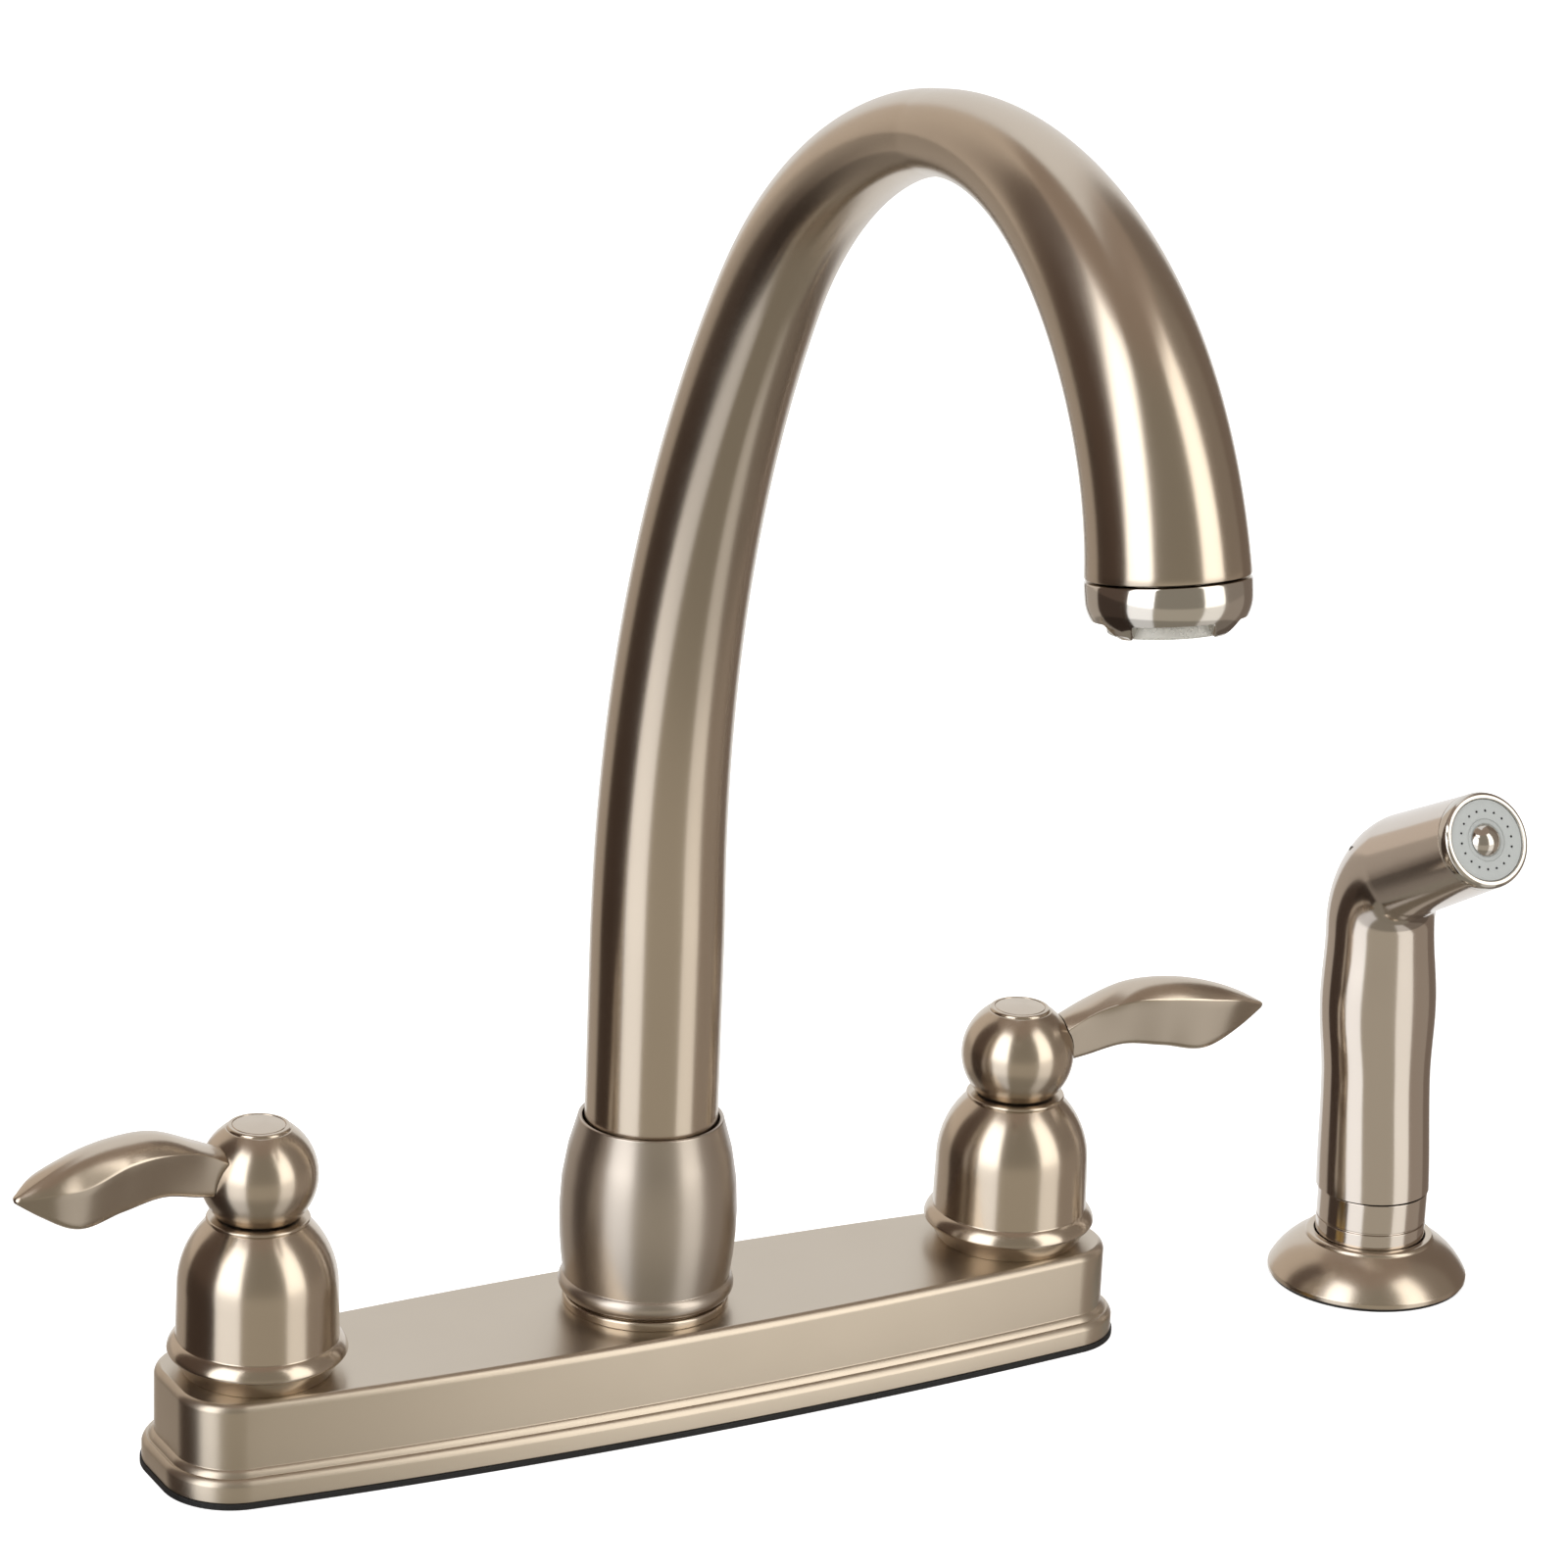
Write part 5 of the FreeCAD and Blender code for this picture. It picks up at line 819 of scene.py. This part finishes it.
# %% Grip and head
grip_rings = []
for share in np.linspace(0, 1, 70):
    grip_rings.append(oval_ring(along_grip(share, HALF_WIDTHS), along_grip(share, HALF_DEPTHS),
                                GRIP_FOOT_Y + (grip_top_y - GRIP_FOOT_Y) * share,
                                GRIP_FOOT + grip_rise * share, -LEAN * min(share * 2, 1)))
for share in np.linspace(0, 1, 34)[1:]:
    heading = -LEAN + (head_heading + LEAN) * share
    grip_rings.append(oval_ring(eased(share, HALF_WIDTHS[3], HEAD + FLATTER), eased(share, HALF_DEPTHS[3],
                                                                                    HEAD),
                                *round_bend(BEND, heading), heading))
head_y, head_z = round_bend(BEND, head_heading)
run_y, run_z = -math.sin(math.radians(head_heading)), math.cos(math.radians(head_heading))
for share in np.linspace(0, 1, 24)[1:]:
    along = (HEAD_LENGTH - BEZEL) * share
    radius = HEAD + (HEAD_END - HEAD) * share
    grip_rings.append(oval_ring(radius + FLATTER, radius, head_y + along * run_y, head_z + along * run_z,
                                head_heading))
grip_mesh = mesh_from("grip", *join_rings(grip_rings, capped=True))
face_y, face_z = head_y + HEAD_LENGTH * run_y, head_z + HEAD_LENGTH * run_z

# %% Slot and trigger
back = BEND + HALF_DEPTHS[3]
SLOT_TOP, TRIGGER_TOP, TRIGGER_HALF, TRIGGER_GAP = 51.3, 50.0, 7.6, 0.3
TIP_Z, HEEL_Z, SLOT_FLOOR, SLOT_BOTTOM, CUTTER_Y = 79.0, 74.8, 10.1, 72.4, 28.0
slot_loop = [(SLOT_FLOOR, SLOT_BOTTOM), (CUTTER_Y, SLOT_BOTTOM), (CUTTER_Y, GRIP_TOP),
             round_bend(back + 8, SLOT_TOP), round_bend(back, SLOT_TOP), round_bend(back - 10.5, 53),
             round_bend(back - 12.3, 25), (SLOT_FLOOR, GRIP_TOP)]
grip_mesh = cut_away(grip_mesh, box_mesh("slot", slot_loop, TRIGGER_HALF + TRIGGER_GAP))
dress("grip_and_head", grip_mesh, "spray_body", place=beside)

# Height on the grip, or heading in the bend; how proud of the shell the outer face stands; and how
# deep the inner face lies, counted from the line of the grip.
ON_GRIP = [(HEEL_Z, 0.4, 11.2), (HEEL_Z + 0.4, 0.9, 11.1), (TIP_Z - 0.5, 2.95, 10.7), (TIP_Z, 3.3, 10.6),
           (TIP_Z + 0.5, 3.25, 10.5), (82.0, 2.6, 10.2), (86.0, 1.75, 9.6), (90.0, 0.95, 9.1), (GRIP_TOP,
                                                                                                0.35, 8.6)]
ON_BEND = [(0, 0.12, 7.0), (8, 0.02, 5.0), (15, 0.0, 3.8), (22, 0.0, 3.5), (29, 0.0, 3.5), (36, 0.0, 3.5),
           (43, 0.0, 3.5), (48, 0.0, 3.5), (TRIGGER_TOP - 0.4, -0.05, 3.5), (TRIGGER_TOP, -0.35, 3.5)]


def trigger_ring(half_width, half_depth, y, z, tilt, proud, inner):
    """Section of the trigger: an outer face that follows the shell's oval, and a flat inner one."""
    across = [TRIGGER_HALF * share for share in np.linspace(1, -1, 25)]
    outline = [(x, half_depth * math.sqrt(1 - (x / half_width) ** 2) + proud) for x in across]
    cos, sin = math.cos(math.radians(tilt)), math.sin(math.radians(tilt))
    outline = [(TRIGGER_HALF, inner)] + outline + [(-TRIGGER_HALF, inner)]
    return [(x, y + deep * cos, z + deep * sin) for x, deep in outline]


trigger_rings = []
for height, proud, inner in ON_GRIP:
    share = (height - GRIP_FOOT) / grip_rise
    trigger_rings.append(trigger_ring(along_grip(share, HALF_WIDTHS), along_grip(share, HALF_DEPTHS),
                                      GRIP_FOOT_Y + (grip_top_y - GRIP_FOOT_Y) * share, height, -LEAN, proud, inner))
for heading, proud, inner in ON_BEND:
    share = (heading + LEAN) / (head_heading + LEAN)
    trigger_rings.append(trigger_ring(eased(share, HALF_WIDTHS[3], HEAD + FLATTER), eased(share,
                                                                                          HALF_DEPTHS[3], HEAD),
                                      *round_bend(BEND, heading), heading, proud, inner))
trigger_mesh = mesh_from("trigger", *join_rings(trigger_rings, capped=True))
dress("thumb_trigger", trigger_mesh, "spray_trigger", place=beside)

# %% [markdown]
# ## Face of the spray
# A polished bezel holds a light grey disc with a ring of small dark jets, and a chrome dome sits in
# the middle. The jets repeat round a circle, so Geometry Nodes set them there.
# %% Bezel, disc and dome
at_face = heading_at(face_y, face_z, head_heading, spray_x, spray_y)
BEZEL_THREAD, BEZEL_RADIUS, DISC, DISC_DROP, DISC_THICK = 10.9, 11.9, 10.2, 0.5, 2.6
DOME_RADIUS, DOME_HEIGHT, JETS, JET_RING = 4.2, 2.4, 18, 7.35
bezel_mesh = turned_mesh("bezel", [
    (9, -8.9), (BEZEL_THREAD, -8.9), (BEZEL_THREAD, -BEZEL), (HEAD_END, -BEZEL), (HEAD_END, -BEZEL + 2),
    (BEZEL_RADIUS, -0.5), (BEZEL_RADIUS - 0.6, 0), (DISC + 0.25, 0), (DISC + 0.05, -DISC_DROP),
    (DISC + 0.05, -DISC_DROP - DISC_THICK), (9, -DISC_DROP - DISC_THICK)], 0.15)
dress("spray_bezel_ring", bezel_mesh, "spray_bezel", place=at_face)
disc_mesh = turned_mesh("disc", [
    (1.85, -DISC_DROP - DISC_THICK), (DISC, -DISC_DROP - DISC_THICK), (DISC, -DISC_DROP), (5.4, -DISC_DROP),
    (5.2, -DISC_DROP - 0.25), (1.85, -DISC_DROP - 0.25)], 0.1)
dress("spray_face_disc", disc_mesh, "spray_face", place=at_face)
dome_mesh = turned_mesh("dome", [
    (0, -3), (1.8, -3), (1.8, -DISC_DROP), (DOME_RADIUS, -DISC_DROP), Bow(rise_over(DOME_RADIUS,
                                                                                    DOME_HEIGHT)),
    (0, -DISC_DROP + DOME_HEIGHT)], 0.1)
dress("spray_dome_button", dome_mesh, "spray_dome", place=at_face)

# %% Jets
tree, given = new_shape_tree("ring_of_jets", [
    ("Jets", "NodeSocketInt", JETS), ("Ring", "NodeSocketFloat", JET_RING * mm),
    ("Jet radius", "NodeSocketFloat", 0.3 * mm), ("Finish", "NodeSocketMaterial", None)])
ring = add_node(tree, "GeometryNodeMeshCircle", Vertices=given["Jets"], Radius=given["Ring"])
jet = add_node(tree, "GeometryNodeMeshUVSphere", Segments=12, Rings=6, Radius=given["Jet radius"])
set_out = add_node(tree, "GeometryNodeInstanceOnPoints", Points=ring.outputs[0], Instance=jet.outputs[0])
real = add_node(tree, "GeometryNodeRealizeInstances", Geometry=set_out.outputs[0])
painted = add_node(tree, "GeometryNodeSetMaterial", Geometry=real.outputs[0], Material=given["Finish"])
tree.links.new(painted.outputs[0], tree.nodes.new("NodeGroupOutput").inputs[0])
jet_mesh = run_shape_tree("jets", bpy.data.meshes.new("empty"), tree, Jets=JETS,
                          Finish=finishes["black_rubber"])
jet_mesh.transform(at_face @ Matrix.Translation((0, 0, -DISC_DROP * mm)))
jets = bpy.data.objects.new("spray_jets", jet_mesh)
bpy.context.scene.collection.objects.link(jets)
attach(jets, "spray")
print("%d jets" % JETS)

# %% [markdown]
# ## What stays hidden
# Valves, cartridges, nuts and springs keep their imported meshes, because only a look from below or
# with a part lifted shows them. They get the finish of their slot.
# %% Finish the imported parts
for node, thing in frame["nodes"].items():
    thing.data.materials.clear()
    thing.data.materials.append(finishes[slot_of[node]])

# %% [markdown]
# ## Stage, light and camera
# Satin metal shows the room more than its own colour. Lamps near by would show in every part in a
# different place, so the lamps stay out of the reflections, and large cards far round the set take
# their part there: a bright one left and right of the camera, with darker ones between and outside
# them, which draws the pairs of bright bands on the bells and balls. Behind the set there is no card,
# and the metal shows the white background. Floor and world are white to the camera; the floor is kept
# out of reflections, because under every part it would fill the metal's lower half with white.
# %% Floor and world
def stage_piece(name, corners, faces, colour, strength):
    """Stage piece from corners in metres: it glows by a colour and strength, or is lit if that is 0."""
    mesh = bpy.data.meshes.new(name)
    mesh.from_pydata(corners, [], faces)
    piece = bpy.data.objects.new(name, mesh)
    bpy.context.scene.collection.objects.link(piece)
    finish, tree = new_finish(name)
    if strength:
        shader = add_node(tree, "ShaderNodeEmission", Color=linear(colour), Strength=strength)
    else:
        shader = add_node(tree, "ShaderNodeBsdfDiffuse", Color=linear(colour))
    add_node(tree, "ShaderNodeOutputMaterial", Surface=shader.outputs[0])
    mesh.materials.append(finish)
    return piece, tree, shader


def seen_directly(tree):
    """1 for rays from the camera, and for those that a mirror or a clear piece sends on."""
    rays = add_node(tree, "ShaderNodeLightPath").outputs
    first = add_node(tree, "ShaderNodeMath", {"operation": "MAXIMUM"},
                     i0=rays["Is Camera Ray"], i1=rays["Is Glossy Ray"])
    return add_node(tree, "ShaderNodeMath", {"operation": "MAXIMUM"},
                    i0=first.outputs[0], i1=rays["Is Transmission Ray"]).outputs[0]


FLOOR_HALF, FLOOR_LIFT, ROOM_LIGHT = 6.0, 0.62, 0.5
floor_corners = [(x * FLOOR_HALF, y * FLOOR_HALF, 0) for x, y in ((-1, -1), (1, -1), (1, 1), (-1, 1))]
floor, tree, shader = stage_piece("floor", floor_corners, [(0, 1, 2, 3)], "#f2f1ef", 0)
lift = add_node(tree, "ShaderNodeMath", {"operation": "MULTIPLY"}, i0=seen_directly(tree), i1=FLOOR_LIFT)
glow = add_node(tree, "ShaderNodeEmission", Color=linear("#ffffff"), Strength=lift.outputs[0])
both = add_node(tree, "ShaderNodeAddShader", i0=shader.outputs[0], i1=glow.outputs[0])
tree.links.new(both.outputs[0], tree.nodes["Material Output"].inputs[0])

world = bpy.data.worlds.new("studio")
bpy.context.scene.world = world
world.use_nodes = True
world.node_tree.nodes.clear()
strength = add_node(world.node_tree, "ShaderNodeMapRange", Value=seen_directly(world.node_tree),
                    To_Min=ROOM_LIGHT, To_Max=1.0)
sky = add_node(world.node_tree, "ShaderNodeBackground", Color=linear("#ffffff"), Strength=strength.outputs[0])
add_node(world.node_tree, "ShaderNodeOutputWorld", Surface=sky.outputs[0])

# %% Camera
VIEW_AZIMUTH, VIEW_ELEVATION, VIEW_ROLL = math.radians(-28.43), math.radians(19.42), math.radians(2.26)
LENS, SENSOR, DISTANCE = 125.66, 36.0, 1.33517
PICTURE, FOCAL = 1600, 5584.72
ORIGIN_PX, MIDDLE_PX = (655.02, 1419.80), (768.29, 900.30)
back_way = Vector((math.sin(VIEW_AZIMUTH) * math.cos(VIEW_ELEVATION),
                   -math.cos(VIEW_AZIMUTH) * math.cos(VIEW_ELEVATION), math.sin(VIEW_ELEVATION)))
right_way = Vector((math.cos(VIEW_AZIMUTH), math.sin(VIEW_AZIMUTH), 0))
up_way = back_way.cross(right_way)
right_rolled = right_way * math.cos(VIEW_ROLL) + up_way * math.sin(VIEW_ROLL)
up_rolled = up_way * math.cos(VIEW_ROLL) - right_way * math.sin(VIEW_ROLL)
aside = (ORIGIN_PX[0] - MIDDLE_PX[0]) * DISTANCE / FOCAL
above = (MIDDLE_PX[1] - ORIGIN_PX[1]) * DISTANCE / FOCAL
eye = back_way * DISTANCE - right_rolled * aside - up_rolled * above
camera_data = bpy.data.cameras.new("camera")
camera = bpy.data.objects.new("camera", camera_data)
bpy.context.scene.collection.objects.link(camera)
camera.matrix_world = Matrix.Translation(eye) @ Matrix((right_rolled, up_rolled,
                                                        back_way)).transposed().to_4x4()
camera_data.lens, camera_data.sensor_width = LENS, SENSOR
camera_data.shift_x = 0.5 - MIDDLE_PX[0] / PICTURE
camera_data.shift_y = MIDDLE_PX[1] / PICTURE - 0.5
camera_data.clip_start, camera_data.clip_end = 0.01, 50
bpy.context.scene.camera = camera
bpy.context.scene.view_settings.view_transform = "Standard"


# %% Lamps
def soft_box(name, turn, height, distance, width, tall, power):
    """Area lamp aimed at the faucet; its turn is counted from the camera's side."""
    heading = VIEW_AZIMUTH + math.radians(turn)
    place = Vector((math.sin(heading) * distance, -math.cos(heading) * distance, height))
    light = bpy.data.lights.new(name, "AREA")
    light.shape, light.size, light.size_y = "RECTANGLE", width, tall
    light.energy = power
    lamp = bpy.data.objects.new(name, light)
    bpy.context.scene.collection.objects.link(lamp)
    lamp.location = place
    lamp.rotation_euler = (Vector((0, 0, 0.15)) - place).to_track_quat("-Z", "Y").to_euler()
    lamp.visible_glossy = False
    return lamp


soft_box("left_lamp", -38, 1.3, 1.5, 0.9, 0.9, 12)
soft_box("right_lamp", 59, 1.3, 1.5, 0.8, 0.9, 9)
soft_box("top_lamp", 180, 1.9, 0.6, 1.2, 1.2, 10)

# %% Cards round the set
# Turn from the camera's side where a card starts and ends, its colour, and its glow low down, where
# upright walls mirror it, and higher up, where shoulders and balls do.
CARDS = {
    "left_far": (-150, -112, "#fff0e0", 0.5, 0.75),
    "left_flag": (-112, -56, "#ffd9c1", 0.07, 0.12),
    "left_card": (-56, -20, "#ffffff", 1.4, 2.8),
    "front_card": (-20, 45, "#fff4e0", 0.52, 0.33),
    "right_card": (45, 75, "#fffbf4", 1.2, 2.3),
    "right_flag": (75, 114, "#ffeddb", 0.4, 0.32),
    "right_far": (114, 150, "#ffe6d2", 0.24, 0.24)}
CARD_FAR, CARD_FOOT, CARD_LOW, CARD_TOP, CARD_STEP, DEEP_SHARE = 2.6, -4.5, -1.5, 3.7, 6, 0.6


def card(name, turns, levels, colour, glow):
    """Card between two turns and through levels of distance and height, seen only in reflections."""
    steps = max(2, round((turns[1] - turns[0]) / CARD_STEP))
    ways = [VIEW_AZIMUTH + math.radians(turns[0] + (turns[1] - turns[0]) * step / steps) for step in range(steps + 1)]
    rings = [[(math.sin(way) * far, -math.cos(way) * far, height) for way in ways] for far, height in levels]
    faces = [(k + row * (steps + 1), k + 1 + row * (steps + 1), k + 1 + (row + 1) * (steps + 1),
              k + (row + 1) * (steps + 1)) for row in range(len(levels) - 1) for k in range(steps)]
    piece, _, _ = stage_piece(name, [point for ring in rings for point in ring], faces, colour, glow)
    piece.visible_camera = piece.visible_shadow = piece.visible_diffuse = False


for name, (start, end, colour, low_glow, high_glow) in CARDS.items():
    card(name + "_deep", (start, end), [(CARD_FAR, CARD_FOOT), (CARD_FAR, CARD_LOW)], colour,
         low_glow * DEEP_SHARE)
    card(name + "_low", (start, end), [(CARD_FAR, CARD_LOW), (CARD_FAR, 0)], colour, low_glow)
    card(name + "_high", (start, end), [(CARD_FAR, 0), (CARD_FAR, CARD_TOP)], colour, high_glow)
card("overhead", (-150, 150), [(0.01, CARD_TOP), (CARD_FAR, CARD_TOP)], "#ffe6d2", 0.38)
card("underneath", (-180, 180), [(0.01, CARD_FOOT), (CARD_FAR, CARD_FOOT)], "#fff4e0", 0.3)
floor.visible_glossy = False
